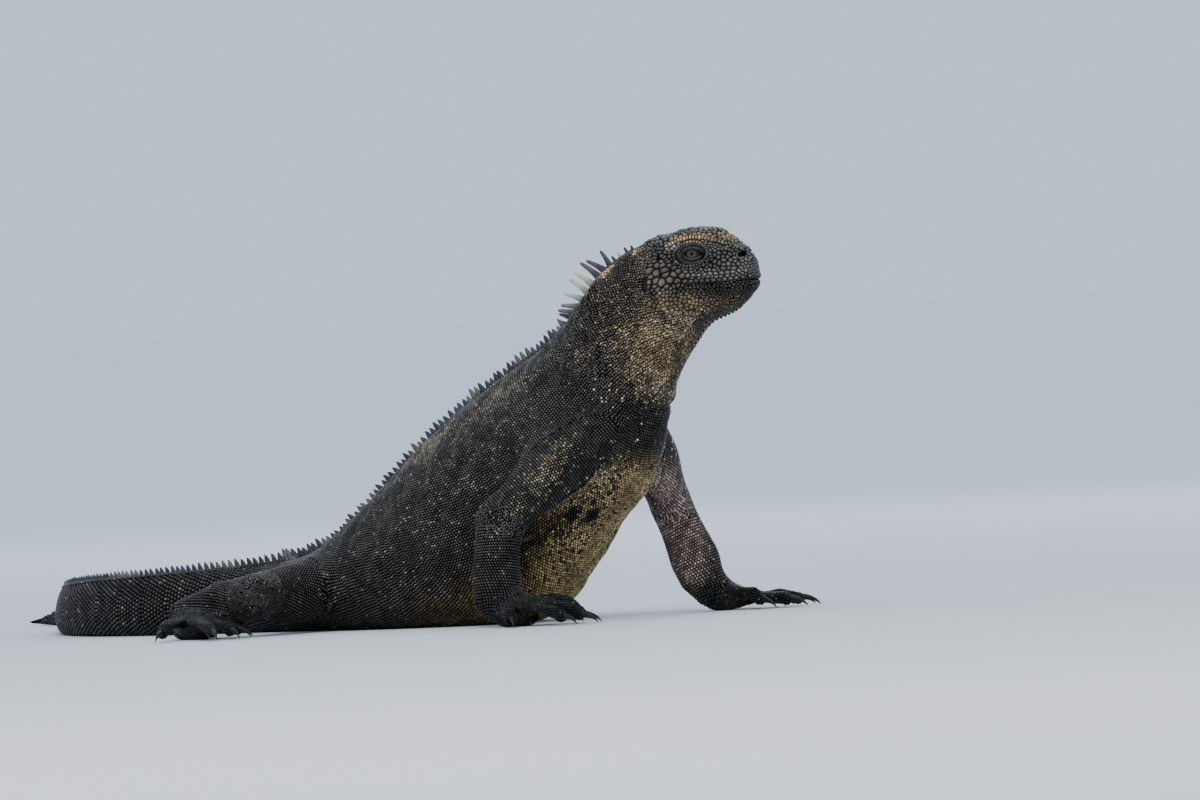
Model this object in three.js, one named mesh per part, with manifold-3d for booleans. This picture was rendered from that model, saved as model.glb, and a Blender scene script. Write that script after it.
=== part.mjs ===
// A life-size marine iguana, propped up on its forelegs with its belly, hind feet and tail on the ground.
// Millimetres. X points forward along the trunk, Y to the animal's left and Z up from the ground.
// The long body is one surface carried through cross-sections from the snout to the tip of the tail,
// and is parted into head, neck, torso and four lengths of tail. Each limb is parted at its joints.
import * as THREE from "three";
import { mergeVertices } from "three/addons/utils/BufferGeometryUtils.js";
import Module from "manifold-3d";

const wasm = await Module();
wasm.setup();
const { Manifold, Mesh: SolidMesh } = wasm;
const radians = THREE.MathUtils.degToRad;
const { lerp, clamp, smoothstep } = THREE.MathUtils;
const point = (x, y, z) => new THREE.Vector3(x, y, z);
const UP = point(0, 0, 1);

// Driving dimensions.
const GAP = 0.3; // between faces that meet
const TAIL_ROOT_X = -190; // where the tail leaves the pelvis
const TAIL_LENGTH = 455;
const TAIL_END_X = TAIL_ROOT_X - TAIL_LENGTH;
const SNOUT_CAP = 2.2; // how far the rounded snout stands before its first section
const HEAD_TURN = radians(10); // the head looks a little to the left
const TAIL_SWEEP = radians(62); // how far the tail swings to the left
const TAIL_RETURN = radians(24); // and how far its end swings back

// The body's cross-sections, from the snout back. Each runs from a point on the line of the back (bx, bz)
// to one on the line of the belly (vx, vz). half is its half width, wide the height of its widest level as a
// share of the way up, and top and bottom are how square it is above and below that level (2 is an ellipse).
const SECTIONS = [
  { bx: 67.8, bz: 171.0, vx: 67.0, vz: 153.2, half: 8.2, wide: 0.42, top: 2.3, bottom: 2.3 },
  { bx: 64.0, bz: 175.8, vx: 63.2, vz: 149.2, half: 10.9, wide: 0.42, top: 2.3, bottom: 2.4 },
  { bx: 58.2, bz: 180.2, vx: 58.0, vz: 145.6, half: 13.1, wide: 0.42, top: 2.3, bottom: 2.5 },
  { bx: 50.6, bz: 185.2, vx: 52.4, vz: 143.2, half: 15.2, wide: 0.44, top: 2.4, bottom: 2.4 },
  { bx: 40.6, bz: 185.8, vx: 46.2, vz: 140.8, half: 17.2, wide: 0.46, top: 2.5, bottom: 2.3 },
  { bx: 30.8, bz: 183.4, vx: 40.9, vz: 136.4, half: 19.4, wide: 0.46, top: 2.4, bottom: 2.2 },
  { bx: 20.6, bz: 181.6, vx: 36.8, vz: 131.0, half: 20.7, wide: 0.47, top: 2.3, bottom: 2.1 },
  { bx: 9.6, bz: 177.8, vx: 32.2, vz: 124.4, half: 20.4, wide: 0.48, top: 2.1, bottom: 2.0 },
  { bx: -1.6, bz: 171.8, vx: 27.7, vz: 117.6, half: 20.6, wide: 0.48, top: 2.0, bottom: 2.0 },
  { bx: -11.6, bz: 164.8, vx: 23.4, vz: 109.6, half: 21.8, wide: 0.46, top: 2.0, bottom: 2.0 },
  { bx: -22.9, bz: 152.3, vx: 19.4, vz: 100.6, half: 25.2, wide: 0.44, top: 2.0, bottom: 2.1 },
  { bx: -33.4, bz: 139.4, vx: 14.0, vz: 85.4, half: 30.0, wide: 0.44, top: 2.0, bottom: 2.2 },
  { bx: -46.0, bz: 130.0, vx: 8.0, vz: 70.2, half: 35.0, wide: 0.46, top: 2.1, bottom: 2.2 },
  { bx: -61.6, bz: 121.0, vx: -0.4, vz: 57.8, half: 38.0, wide: 0.46, top: 2.1, bottom: 2.2 },
  { bx: -80.6, bz: 110.0, vx: -16.0, vz: 42.0, half: 41.0, wide: 0.44, top: 2.1, bottom: 2.2 },
  { bx: -102.0, bz: 95.8, vx: -32.0, vz: 22.6, half: 44.0, wide: 0.42, top: 2.1, bottom: 2.3 },
  { bx: -123.0, bz: 79.0, vx: -56.0, vz: 2.0, half: 46.5, wide: 0.42, top: 2.1, bottom: 2.5 },
  { bx: -142.0, bz: 62.0, vx: -92.0, vz: -3.0, half: 46.5, wide: 0.42, top: 2.1, bottom: 2.6 },
  { bx: -159.4, bz: 48.0, vx: -128.0, vz: -3.0, half: 42.0, wide: 0.44, top: 2.1, bottom: 2.5 },
  { bx: -174.6, bz: 39.4, vx: -156.0, vz: -2.5, half: 34.0, wide: 0.46, top: 2.1, bottom: 2.4 },
  { bx: -190.0, bz: 35.0, vx: -180.0, vz: -2.0, half: 25.5, wide: 0.48, top: 2.0, bottom: 2.3 },
  { bx: -208.0, bz: 32.8, vx: -204.0, vz: -1.6, half: 18.0, wide: 0.46, top: 1.9, bottom: 2.2 },
  { bx: -238.0, bz: 31.2, vx: -236.0, vz: -1.2, half: 12.6, wide: 0.42, top: 1.8, bottom: 2.0 },
  { bx: -282.0, bz: 29.4, vx: -282.0, vz: -1.0, half: 9.4, wide: 0.4, top: 1.7, bottom: 2.0 },
  { bx: -340.0, bz: 27.2, vx: -340.0, vz: -0.8, half: 7.2, wide: 0.38, top: 1.6, bottom: 2.0 },
  { bx: -405.0, bz: 23.8, vx: -405.0, vz: -0.6, half: 5.7, wide: 0.38, top: 1.6, bottom: 2.0 },
  { bx: -470.0, bz: 19.4, vx: -470.0, vz: -0.5, half: 4.4, wide: 0.38, top: 1.7, bottom: 2.0 },
  { bx: -530.0, bz: 13.8, vx: -530.0, vz: -0.4, half: 3.2, wide: 0.4, top: 1.8, bottom: 2.0 },
  { bx: -590.0, bz: 7.6, vx: -590.0, vz: -0.3, half: 2.1, wide: 0.42, top: 2.0, bottom: 2.0 },
  { bx: TAIL_END_X, bz: 2.0, vx: TAIL_END_X, vz: 0.4, half: 0.7, wide: 0.5, top: 2, bottom: 2 },
];
const LAST_SECTION = SECTIONS.length - 1;
const BODY_ROUND = 28; // points round the body
const HEAD_SECTIONS = 8; // the head's surface has more rows than the rest
const HEAD_ROWS = 3; // rows for each section there
const BODY_ROWS = 2; // and behind it

// Places on the head are given by how far back they lie from the front of the mouth, and how far up from its
// line, in a frame that is tipped up a little with the muzzle.
const MUZZLE = { x: 71.5, z: 159.9, tip: radians(2) };
// Rises and hollows of the head's sides: where, how far they spread each way and how far they stand out.
const RELIEF = [
  { back: 30, up: 23.5, long: 11, high: 2.6, out: 1.3 }, // brow
  { back: 29, up: 14.5, long: 8, high: 5, out: -1.3 }, // hollow of the eye
  { back: 15, up: 12, long: 5, high: 4, out: -0.9 }, // before the eye
  { back: 5, up: 13, long: 3.6, high: 3.4, out: 1.1 }, // round the nostril
  { back: 16, up: 3, long: 15, high: 2.2, out: 0.7 }, // upper lip
  { back: 18, up: -7, long: 9, high: 2.6, out: -1.2 }, // under the lower lip
  { back: 45, up: -5, long: 10, high: 10, out: 1.6 }, // jowl
  { back: 58, up: -4, long: 3.5, high: 14, out: -1.2 }, // fold behind the ear
];

const signedPower = (v, power) => Math.sign(v) * Math.abs(v) ** power;
const hump = (v, centre, spread) => Math.exp(-(((v - centre) / spread) ** 2));

// The body's line seen from above: its heading at each x, summed up in steps of 1 mm from x = 0.
function headingAt(x) {
  const behind = TAIL_ROOT_X - x;
  const swing = TAIL_RETURN * smoothstep(behind, 280, TAIL_LENGTH) - TAIL_SWEEP * smoothstep(behind, 0, 270);
  return HEAD_TURN * smoothstep(x, -15, 45) + swing;
}
const PLAN_BACK = -660;
const PLAN_FRONT = 100;
const plan = [];
for (const [from, to, step] of [[0, PLAN_FRONT, 1], [0, PLAN_BACK, -1]]) {
  let place = new THREE.Vector2(0, 0);
  for (let x = from; x !== to; x += step) {
    plan[x - PLAN_BACK] = place;
    const heading = headingAt(x + step / 2);
    place = new THREE.Vector2(place.x + step * Math.cos(heading), place.y + step * Math.sin(heading));
  }
}
// A place beside the straightened body's line, ahead of a point on it and to the left, on the bent one.
function onBody(along, ahead, y, z) {
  const low = Math.floor(along);
  const from = plan[low - PLAN_BACK].clone().lerp(plan[low + 1 - PLAN_BACK], along - low);
  const heading = headingAt(along);
  return point(
    from.x + ahead * Math.cos(heading) - y * Math.sin(heading),
    from.y + ahead * Math.sin(heading) + y * Math.cos(heading),
    z,
  );
}
// A place of the head, given back from the front of the mouth, to the left and up.
function onHead(back, y, up) {
  const x = MUZZLE.x - back * Math.cos(MUZZLE.tip) - up * Math.sin(MUZZLE.tip);
  return onBody(x, 0, y, MUZZLE.z - back * Math.sin(MUZZLE.tip) + up * Math.cos(MUZZLE.tip));
}

// Smooth lines through the sections' values: back, belly and the four numbers of the section's shape.
const through = (points) => new THREE.CatmullRomCurve3(points, false, "catmullrom", 0.5);
const backLine = through(SECTIONS.map((s) => point(s.bx, 0, s.bz)));
const bellyLine = through(SECTIONS.map((s) => point(s.vx, 0, s.vz)));
const widthLine = through(SECTIONS.map((s) => point(s.half, s.wide, 0)));
const squareLine = through(SECTIONS.map((s) => point(s.top, s.bottom, 0)));

// How far the head's side stands out at a place of its middle plane.
function relief(x, z) {
  const dx = x - MUZZLE.x;
  const dz = z - MUZZLE.z;
  const back = -dx * Math.cos(MUZZLE.tip) - dz * Math.sin(MUZZLE.tip);
  const up = dz * Math.cos(MUZZLE.tip) - dx * Math.sin(MUZZLE.tip);
  return RELIEF.reduce((sum, r) => sum + r.out * hump(back, r.back, r.long) * hump(up, r.up, r.high), 0);
}

// A point of the body's surface. q counts sections from the snout (-1 is the tip of its rounded cap) and
// turn goes round from the back over the left side. grow thickens the whole section.
function bodyPoint(q, turn, grow = 0) {
  const t = Math.max(q, 0) / LAST_SECTION;
  const back = backLine.getPoint(t);
  const belly = bellyLine.getPoint(t);
  const { x: half, y: wide } = widthLine.getPoint(t);
  const { x: top, y: bottom } = squareLine.getPoint(t);
  const height = back.distanceTo(belly);
  const up = back.clone().sub(belly).normalize();
  const middle = belly.clone().addScaledVector(up, height * wide);
  const upper = Math.cos(turn) > 0;
  const power = 2 / (upper ? top : bottom);
  const cap = q < 0 ? Math.sqrt(Math.max(0, 1 - q * q)) : 1;
  const rise = signedPower(Math.cos(turn), power) * (height * (upper ? 1 - wide : wide) + grow) * cap;
  middle.addScaledVector(up, rise);
  const out = q < HEAD_SECTIONS + 2 ? relief(middle.x, middle.z) : 0;
  const side = signedPower(Math.sin(turn), power) * (half + grow + out) * cap;
  const along = (back.x + belly.x) / 2;
  return onBody(along, middle.x - along + (q < 0 ? -q * SNOUT_CAP : 0), side, Math.max(0, middle.z));
}
// The direction out of the body's surface.
function bodyNormal(q, turn) {
  const step = 0.04;
  const along = bodyPoint(q + step, turn).sub(bodyPoint(q - step, turn));
  const round = bodyPoint(q, turn + step).sub(bodyPoint(q, turn - step));
  return along.cross(round).normalize().negate();
}

// A closed solid of a geometry, with its shared vertices merged and its faces pointing out.
function solid(geometry) {
  geometry.deleteAttribute("normal");
  geometry.deleteAttribute("uv");
  const merged = mergeVertices(geometry, 1e-4);
  const triVerts = new Uint32Array(merged.index.array);
  const vertProperties = merged.getAttribute("position").array;
  const made = new Manifold(new SolidMesh({ numProp: 3, vertProperties, triVerts }));
  if (made.volume() > 0) return made;
  for (let i = 0; i < triVerts.length; i += 3) [triVerts[i], triVerts[i + 1]] = [triVerts[i + 1], triVerts[i]];
  return new Manifold(new SolidMesh({ numProp: 3, vertProperties, triVerts }));
}

// A sphere's vertices carried to place(t, turn), with t from 0 to 1 between its poles.
function shaped(round, along, place) {
  const sphere = new THREE.SphereGeometry(1, round, along);
  const uv = sphere.getAttribute("uv");
  const position = sphere.getAttribute("position");
  for (let i = 0; i < position.count; i++) {
    const t = 1 - uv.getY(i);
    const pole = t < 1e-6 || t > 1 - 1e-6;
    position.setXYZ(i, ...place(t, pole ? 0 : uv.getX(i) * 2 * Math.PI).toArray());
  }
  return solid(sphere);
}

// A round-ended body along a curve. radiusAt(t) is its radius, and flat its height over its width.
function swept(curve, radiusAt, round, along, flat = 1, up = UP) {
  return shaped(round, along, (t, turn) => {
    const side = new THREE.Vector3().crossVectors(curve.getTangent(t), up).normalize();
    const above = new THREE.Vector3().crossVectors(side, curve.getTangent(t));
    const radius = radiusAt(t);
    const place = curve.getPoint(t).addScaledVector(side, radius * Math.sin(turn));
    return place.addScaledVector(above, radius * flat * Math.cos(turn));
  });
}
// The radius along a tapering piece whose ends are rounded over the share cap of its length.
const rounded = (from, to, cap) => (t) => {
  const end = Math.min(1, t / cap, (1 - t) / cap);
  return lerp(from, to, t) * Math.sqrt(1 - (1 - end) ** 2);
};
// The radius of a piece whose root is sunk in, and which runs out to a blunt point.
const pointed = (radius) => (t) => radius * Math.sqrt(Math.min(1, t * 6)) * (1 - t * 0.93) + 0.12 * (1 - t);
// The radius of a roll that fades out at both of its ends.
const faded = (radius, share) => (t) => radius * Math.sqrt(Math.min(1, t / share, (1 - t) / share)) + 0.05;

// An ellipsoid of three radii, turned about Z.
function ball(centre, rx, ry, rz, turnZ = 0, detail = 10) {
  const sphere = new THREE.SphereGeometry(1, detail, Math.round(detail * 0.7));
  sphere.scale(rx, ry, rz);
  sphere.rotateZ(turnZ);
  sphere.translate(centre.x, centre.y, centre.z);
  return solid(sphere);
}
// Half of space beyond a plane, as a large box whose near face lies on it.
function beyond(place, normal, size = 900) {
  const box = new THREE.BoxGeometry(size, size, size);
  box.translate(0, 0, size / 2);
  box.applyQuaternion(new THREE.Quaternion().setFromUnitVectors(UP, normal));
  box.translate(place.x, place.y, place.z);
  return solid(box);
}
const ground = beyond(point(0, 0, 0), point(0, 0, -1), 1600);
const union = (solids) => Manifold.union(solids);
const largest = (made) => made.decompose().sort((a, b) => b.volume() - a.volume())[0];

const MATERIALS = {
  skin: new THREE.MeshStandardMaterial({ color: 0x2b2a29, roughness: 0.72, metalness: 0 }),
  throat: new THREE.MeshStandardMaterial({ color: 0x51483c, roughness: 0.75, metalness: 0 }),
  foot: new THREE.MeshStandardMaterial({ color: 0x161616, roughness: 0.6, metalness: 0 }),
  eye: new THREE.MeshStandardMaterial({ color: 0x2a2420, roughness: 0.1, metalness: 0 }),
  claw: new THREE.MeshStandardMaterial({ color: 0x14120f, roughness: 0.4, metalness: 0 }),
};
const iguana = new THREE.Group();
iguana.name = "marine_iguana";
// Adds the largest closed piece of a solid to the group as a named mesh.
function addNode(name, made, material) {
  const { numProp, vertProperties, triVerts } = largest(made).getMesh();
  const position = new Float32Array((vertProperties.length / numProp) * 3);
  for (let i = 0; i < position.length; i++) position[i] = vertProperties[Math.floor(i / 3) * numProp + (i % 3)];
  const geometry = new THREE.BufferGeometry();
  geometry.setAttribute("position", new THREE.BufferAttribute(position, 3));
  geometry.setIndex(new THREE.BufferAttribute(new Uint32Array(triVerts), 1));
  geometry.computeVertexNormals();
  const mesh = new THREE.Mesh(geometry, material);
  mesh.name = name;
  iguana.add(mesh);
}

// The body's bare surface. Its rows are closer together on the head, so t is carried to q in two stretches.
const HEAD_ROW_COUNT = (HEAD_SECTIONS + 1) * HEAD_ROWS;
const ROW_COUNT = HEAD_ROW_COUNT + (LAST_SECTION - HEAD_SECTIONS) * BODY_ROWS;
function rowToSection(t) {
  const row = t * ROW_COUNT;
  if (row <= HEAD_ROW_COUNT) return -1 + row / HEAD_ROWS;
  return HEAD_SECTIONS + (row - HEAD_ROW_COUNT) / BODY_ROWS;
}
const bodyAt = (grow) => shaped(BODY_ROUND, ROW_COUNT, (t, turn) => bodyPoint(rowToSection(t), turn, grow));
const body = bodyAt(0);
const grownBody = bodyAt(GAP);

// A spine on the line of the back at q: a flattened cone. lean tips it towards the tail.
function spine(q, length, thick, lean, round, along) {
  const root = bodyPoint(q, 0);
  const out = bodyNormal(q, 0);
  const side = point(-Math.sin(headingAt(root.x)), Math.cos(headingAt(root.x)), 0);
  const backwards = bodyPoint(q + 0.05, 0).sub(bodyPoint(q - 0.05, 0)).normalize();
  const tip = root.clone().addScaledVector(out, length * Math.cos(lean));
  tip.addScaledVector(backwards, length * Math.sin(lean));
  const sunk = root.clone().addScaledVector(out, -thick);
  const middle = sunk.clone().lerp(tip, 0.55).addScaledVector(backwards, -length * 0.06);
  return swept(new THREE.QuadraticBezierCurve3(sunk, middle, tip), pointed(thick), round, along, 1.4, side);
}

// The nape's spines, from the back of the head to the shoulders: distance along the crest from the one
// before, length and lean in degrees.
const NAPE_FROM_Q = 7.25;
const NAPE_SPINES = [
  [0, 2.2, 0], [3.4, 3.2, 0], [4.2, 2.6, 0], [7.2, 9.2, -1], [2.8, 11.6, 29], [5.0, 12.4, 11], [5.0, 12.3, 10],
  [4.8, 12.0, 6], [4.0, 11.2, 24], [3.6, 10.6, 41], [3.3, 10.0, 29], [3.6, 7.6, 20], [3.4, 4.4, 26],
];
const BACK_SPINES = { count: 36, untilQ: 20.6, length: 3.3, wave: 0.7, thick: 1.3, lean: radians(24) };
const TAIL_SPINES = { count: 26, untilQ: 28.3, length: 3.3, last: 1.3, thick: 1.2, lean: radians(30) };

// Moves q back by a distance along the line of the back.
function stepBack(q, distance) {
  const small = 0.02;
  return q + (distance * small) / bodyPoint(q + small, 0).distanceTo(bodyPoint(q, 0));
}
const crest = [];
let crestQ = NAPE_FROM_Q;
for (const [gap, length, lean] of NAPE_SPINES) {
  crestQ = stepBack(crestQ, gap);
  crest.push(spine(crestQ, length, 0.8 + length * 0.07, radians(lean), 6, 3));
}
for (let i = 1; i <= BACK_SPINES.count; i++) {
  const q = lerp(crestQ, BACK_SPINES.untilQ, i / BACK_SPINES.count);
  const length = BACK_SPINES.length + BACK_SPINES.wave * Math.sin(i * 1.3);
  crest.push(spine(q, length, BACK_SPINES.thick, BACK_SPINES.lean, 4, 2));
}
for (let i = 1; i <= TAIL_SPINES.count; i++) {
  const share = i / TAIL_SPINES.count;
  const q = lerp(BACK_SPINES.untilQ, TAIL_SPINES.untilQ, share);
  const length = lerp(TAIL_SPINES.length, TAIL_SPINES.last, share ** 1.5);
  crest.push(spine(q, length, TAIL_SPINES.thick * (1 - 0.45 * share), TAIL_SPINES.lean, 4, 2));
}

// Scutes are low six-sided cones. Those of the crown stand in rows from the nose to the back of the head,
// each a little off its place.
const CROWN = { rows: 7, fromQ: 1.1, toQ: 6.7, across: radians(42), radius: 2.1, height: 1.1 };
let seed = 7;
const random = () => {
  seed = (seed * 16807) % 2147483647;
  return seed / 2147483647;
};
function scute(place, normal, radius, height) {
  const tip = place.clone().addScaledVector(normal, height);
  const sunk = place.clone().addScaledVector(normal, -height);
  const side = Math.abs(normal.z) > 0.7 ? point(0, 1, 0) : UP;
  return swept(new THREE.LineCurve3(sunk, tip), (t) => (t === 0 || t === 1 ? 0.05 : radius), 6, 2, 1, side);
}
const crown = [];
for (let row = 0; row < CROWN.rows; row++) {
  const count = 3 + Math.round(2 * Math.sin((Math.PI * (row + 1)) / CROWN.rows));
  for (let i = 0; i < count; i++) {
    const q = lerp(CROWN.fromQ, CROWN.toQ, row / (CROWN.rows - 1)) + 0.2 * (random() - 0.5);
    const turn = CROWN.across * ((2 * (i + 0.5)) / count - 1) + 0.05 * (random() - 0.5);
    const height = CROWN.height * (0.7 + 0.6 * random());
    crown.push(scute(bodyPoint(q, turn), bodyNormal(q, turn), CROWN.radius, height));
  }
}

// The turn at which the body's surface at q reaches a height over the mouth's line, on one side.
function turnAtHeight(q, up, side) {
  let low = 0;
  let high = Math.PI;
  for (let i = 0; i < 24; i++) {
    const turn = (low + high) / 2;
    const place = bodyPoint(q, turn);
    const line = MUZZLE.z - (MUZZLE.x - place.x) * Math.tan(MUZZLE.tip) + up;
    if (place.z > line) low = turn;
    else high = turn;
  }
  return side * low;
}
// The place on the head's side that lies back from the front of the mouth and up from its line.
function onCheek(back, up, side) {
  const wanted = onHead(back, 0, up);
  const heading = headingAt(MUZZLE.x);
  let q = 0;
  for (let i = 0; i < 8; i++) {
    const place = bodyPoint(q, turnAtHeight(q, up, side));
    const off = (place.x - wanted.x) * Math.cos(heading) + (place.y - wanted.y) * Math.sin(heading);
    q = Math.max(-0.98, q + off / 9);
  }
  return { q, turn: turnAtHeight(q, up, side) };
}

// Eyes, each in a ball of lid with a long opening that faces out and a little forward, under a row of scutes.
const EYE = { back: 29.1, up: 15.1, out: 10.6, radius: 5.2, facing: radians(80) };
const LID = { thick: 1.5, long: 3.6, high: 2.3, deep: 4 };
const BROW = { count: 7, fromBack: 18, toBack: 42, up: 21.5, arch: 2, radius: 1.5, height: 1.1 };
const EAR = { back: 51.5, up: 2, out: 1.2, deep: 2, long: 2.6, high: 3.4 };
const NOSTRIL = { back: 5.4, up: 12.6, swell: 2.7, hole: 1.25, deep: 2.2 };

function eyeParts(side) {
  const centre = onHead(EYE.back, side * EYE.out, EYE.up);
  const facing = headingAt(MUZZLE.x) + side * EYE.facing;
  const outwards = point(Math.cos(facing), Math.sin(facing), 0);
  const opening = centre.clone().addScaledVector(outwards, EYE.radius + 1);
  const lid = EYE.radius + LID.thick;
  const socket = EYE.radius + GAP;
  return {
    added: [ball(centre, lid, lid, lid * 0.94, facing)],
    cut: [ball(centre, socket, socket, socket, facing), ball(opening, LID.deep, LID.long, LID.high, facing)],
    eyeball: ball(centre, EYE.radius, EYE.radius, EYE.radius, facing),
  };
}
function browScutes(side) {
  return Array.from({ length: BROW.count }, (_, i) => {
    const share = i / (BROW.count - 1);
    const up = BROW.up + BROW.arch * Math.sin(Math.PI * share);
    const { q, turn } = onCheek(lerp(BROW.fromBack, BROW.toBack, share), up, side);
    return scute(bodyPoint(q, turn), bodyNormal(q, turn), BROW.radius, BROW.height);
  });
}
function earCup(side) {
  const { q, turn } = onCheek(EAR.back, EAR.up, side);
  const place = bodyPoint(q, turn).addScaledVector(bodyNormal(q, turn), EAR.out);
  return ball(place, EAR.long, EAR.deep + EAR.out, EAR.high, headingAt(place.x), 8);
}
function nostrilParts(side) {
  const { q, turn } = onCheek(NOSTRIL.back, NOSTRIL.up, side);
  const surface = bodyPoint(q, turn);
  const inside = surface.clone().addScaledVector(bodyNormal(q, turn), -NOSTRIL.swell * 0.65);
  const mouth = surface.clone().addScaledVector(bodyNormal(q, turn), NOSTRIL.swell * 0.45);
  return {
    added: ball(inside, NOSTRIL.swell, NOSTRIL.swell, NOSTRIL.swell, 0, 10),
    cut: ball(mouth, NOSTRIL.hole * 1.2, NOSTRIL.deep, NOSTRIL.hole, headingAt(MUZZLE.x), 8),
  };
}

// The line of the mouth runs round the snout from corner to corner. Lips are rolls along it, and a thin
// curved blade cuts the slit between them.
const MOUTH = { corner: 31, lip: 1.5, slit: 0.5, deep: 1.6, points: 22, along: 18 };
function mouthLine(up, out) {
  const points = [];
  for (let i = 0; i <= MOUTH.points; i++) {
    const share = (2 * i) / MOUTH.points - 1;
    const back = MOUTH.corner * Math.abs(share) ** 1.4;
    const front = { q: -0.98, turn: turnAtHeight(-0.98, up, 1) };
    const { q, turn } = share === 0 ? front : onCheek(Math.max(back, 0.6), up, Math.sign(share));
    const place = bodyPoint(q, turn);
    const outwards = place.clone().sub(onHead(back + 8, 0, up)).setZ(0).normalize();
    points.push(place.addScaledVector(outwards, out));
  }
  return through(points);
}
const lip = (up, out) => swept(mouthLine(up, out), faded(MOUTH.lip, 0.08), 5, MOUTH.along);
const lips = [lip(MOUTH.lip, -0.9), lip(-MOUTH.lip, -1.1)];
const slit = swept(mouthLine(0, 0.4), faded(MOUTH.deep, 0.07), 4, MOUTH.along, MOUTH.slit / MOUTH.deep);

const SIDES = { right: -1, left: 1 };
const eyes = [eyeParts(SIDES.right), eyeParts(SIDES.left)];
const nostrils = [nostrilParts(SIDES.right), nostrilParts(SIDES.left)];
const raised = [...crest, ...crown, ...lips, ...browScutes(SIDES.right), ...browScutes(SIDES.left)];
raised.push(...eyes.flatMap((e) => e.added), ...nostrils.map((n) => n.added));
const hollows = [slit, earCup(SIDES.right), earCup(SIDES.left), ground];
hollows.push(...eyes.flatMap((e) => e.cut), ...nostrils.map((n) => n.cut));

// The body is parted across its length at these places, given as a count of sections from the snout.
const PARTINGS = [
  { name: "head", until: 7.5, material: MATERIALS.skin },
  { name: "neck", until: 11.5, material: MATERIALS.throat },
  { name: "torso", until: 20.5, material: MATERIALS.skin },
  { name: "tail_base", until: 22.5, material: MATERIALS.skin },
  { name: "tail_middle", until: 24.5, material: MATERIALS.skin },
  { name: "tail_rear", until: 26.5, material: MATERIALS.skin },
  { name: "tail_tip", until: null, material: MATERIALS.skin },
];
// The plane across the body at q, with its normal towards the tail.
function planeAt(q) {
  const left = bodyPoint(q, Math.PI / 2);
  const right = bodyPoint(q, -Math.PI / 2);
  const upright = bodyPoint(q, 0).sub(bodyPoint(q, Math.PI));
  const normal = left.clone().sub(right).cross(upright).normalize();
  if (normal.x > 0) normal.negate();
  return { place: left.add(right).multiplyScalar(0.5), normal };
}
let rest = union([body, ...raised]);
for (const piece of hollows) rest = rest.subtract(piece);
for (const { name, until, material } of PARTINGS) {
  if (until === null) {
    addNode(name, rest, material);
    break;
  }
  const { place, normal } = planeAt(until);
  addNode(name, rest.subtract(beyond(place, normal)), material);
  rest = rest.subtract(beyond(place.clone().addScaledVector(normal, GAP), normal.clone().negate()));
}
addNode("eye_right", eyes[0].eyeball, MATERIALS.eye);
addNode("eye_left", eyes[1].eyeball, MATERIALS.eye);

// Limbs. A kind of limb has its radii at the joints and between them, its palm or sole, and its toes: length,
// turn from the foot's heading in degrees, how far to the side they start and how far back.
const FORE = {
  names: ["upper_arm", "forearm", "hand"],
  upper: [14.8, 14.6, 13.0, 12.2],
  lower: [12.2, 12.8, 12.0, 11.0],
  palm: { long: 20, half: 10.5, high: 8 },
  toes: [[18, 42, -8, 3], [26, 20, -4.5, 0], [31, 3, 0, 0], [31, -15, 4.2, 0.5], [22, -50, 7.5, 7]],
  toeRadius: 3.5,
};
const HIND = {
  names: ["thigh", "shank", "foot"],
  upper: [16.5, 16.5, 14.2, 12.0],
  lower: [12.0, 12.4, 9.6, 7.8],
  palm: { long: 26, half: 9.5, high: 6.6 },
  toes: [[15, 34, -7, 4], [24, 17, -3.6, 1], [34, 3, 0, 0], [42, -10, 3.8, 0], [28, -42, 7, 10]],
  toeRadius: 3.3,
};
// Each limb's joints from the trunk out, its foot's heading in degrees, and how far each toe is arched.
const FLAT_TOES = [1, 1, 1, 1, 1];
const LIMBS = [
  {
    side: "right", kind: FORE, heading: -2, arches: [1.6, 2.2, 1.7, 1.2, 0.8],
    joints: [point(-4, -28, 89), point(-44, -56, 51), point(-42.6, -62, 13)],
  },
  {
    side: "left", kind: FORE, heading: 32, arches: [1.2, 0.4, 0.4, 0.4, 0.6],
    joints: [point(-9, 27, 89), point(-17.5, 66, 53), point(-2.4, 70, 13)],
  },
  {
    side: "right", kind: HIND, heading: -36, arches: FLAT_TOES,
    joints: [point(-166, -20, 21), point(-170, -74, 20), point(-212, -72, 11.5)],
  },
  {
    side: "left", kind: HIND, heading: 46, arches: FLAT_TOES,
    joints: [point(-166, 20, 21), point(-150, 70, 21), point(-192, 78, 11.5)],
  },
];
const CLAW = { length: 8.5, radius: 1.6 };

// A stretch of limb between two joints, with round ends. radii are at the joints and a third and two thirds
// of the way between them.
function segment(a, b, radii, grow = 0) {
  const [from, , , to] = radii;
  const profile = through(radii.map((r) => point(r, 0, 0)));
  const along = b.clone().sub(a).normalize();
  const start = a.clone().addScaledVector(along, -from - grow);
  const end = b.clone().addScaledVector(along, to + grow);
  const length = start.distanceTo(end);
  const radiusAt = (t) => {
    const behind = Math.min(1, (t * length) / from);
    const left = Math.min(1, ((1 - t) * length) / to);
    const share = clamp((t * length - from) / (length - from - to), 0, 1);
    return (profile.getPoint(share).x + grow) * Math.sqrt(behind * (2 - behind) * left * (2 - left));
  };
  return swept(new THREE.LineCurve3(start, end), radiusAt, 12, 9, 1, point(0.31, 0.27, 0.91).normalize());
}

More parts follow.
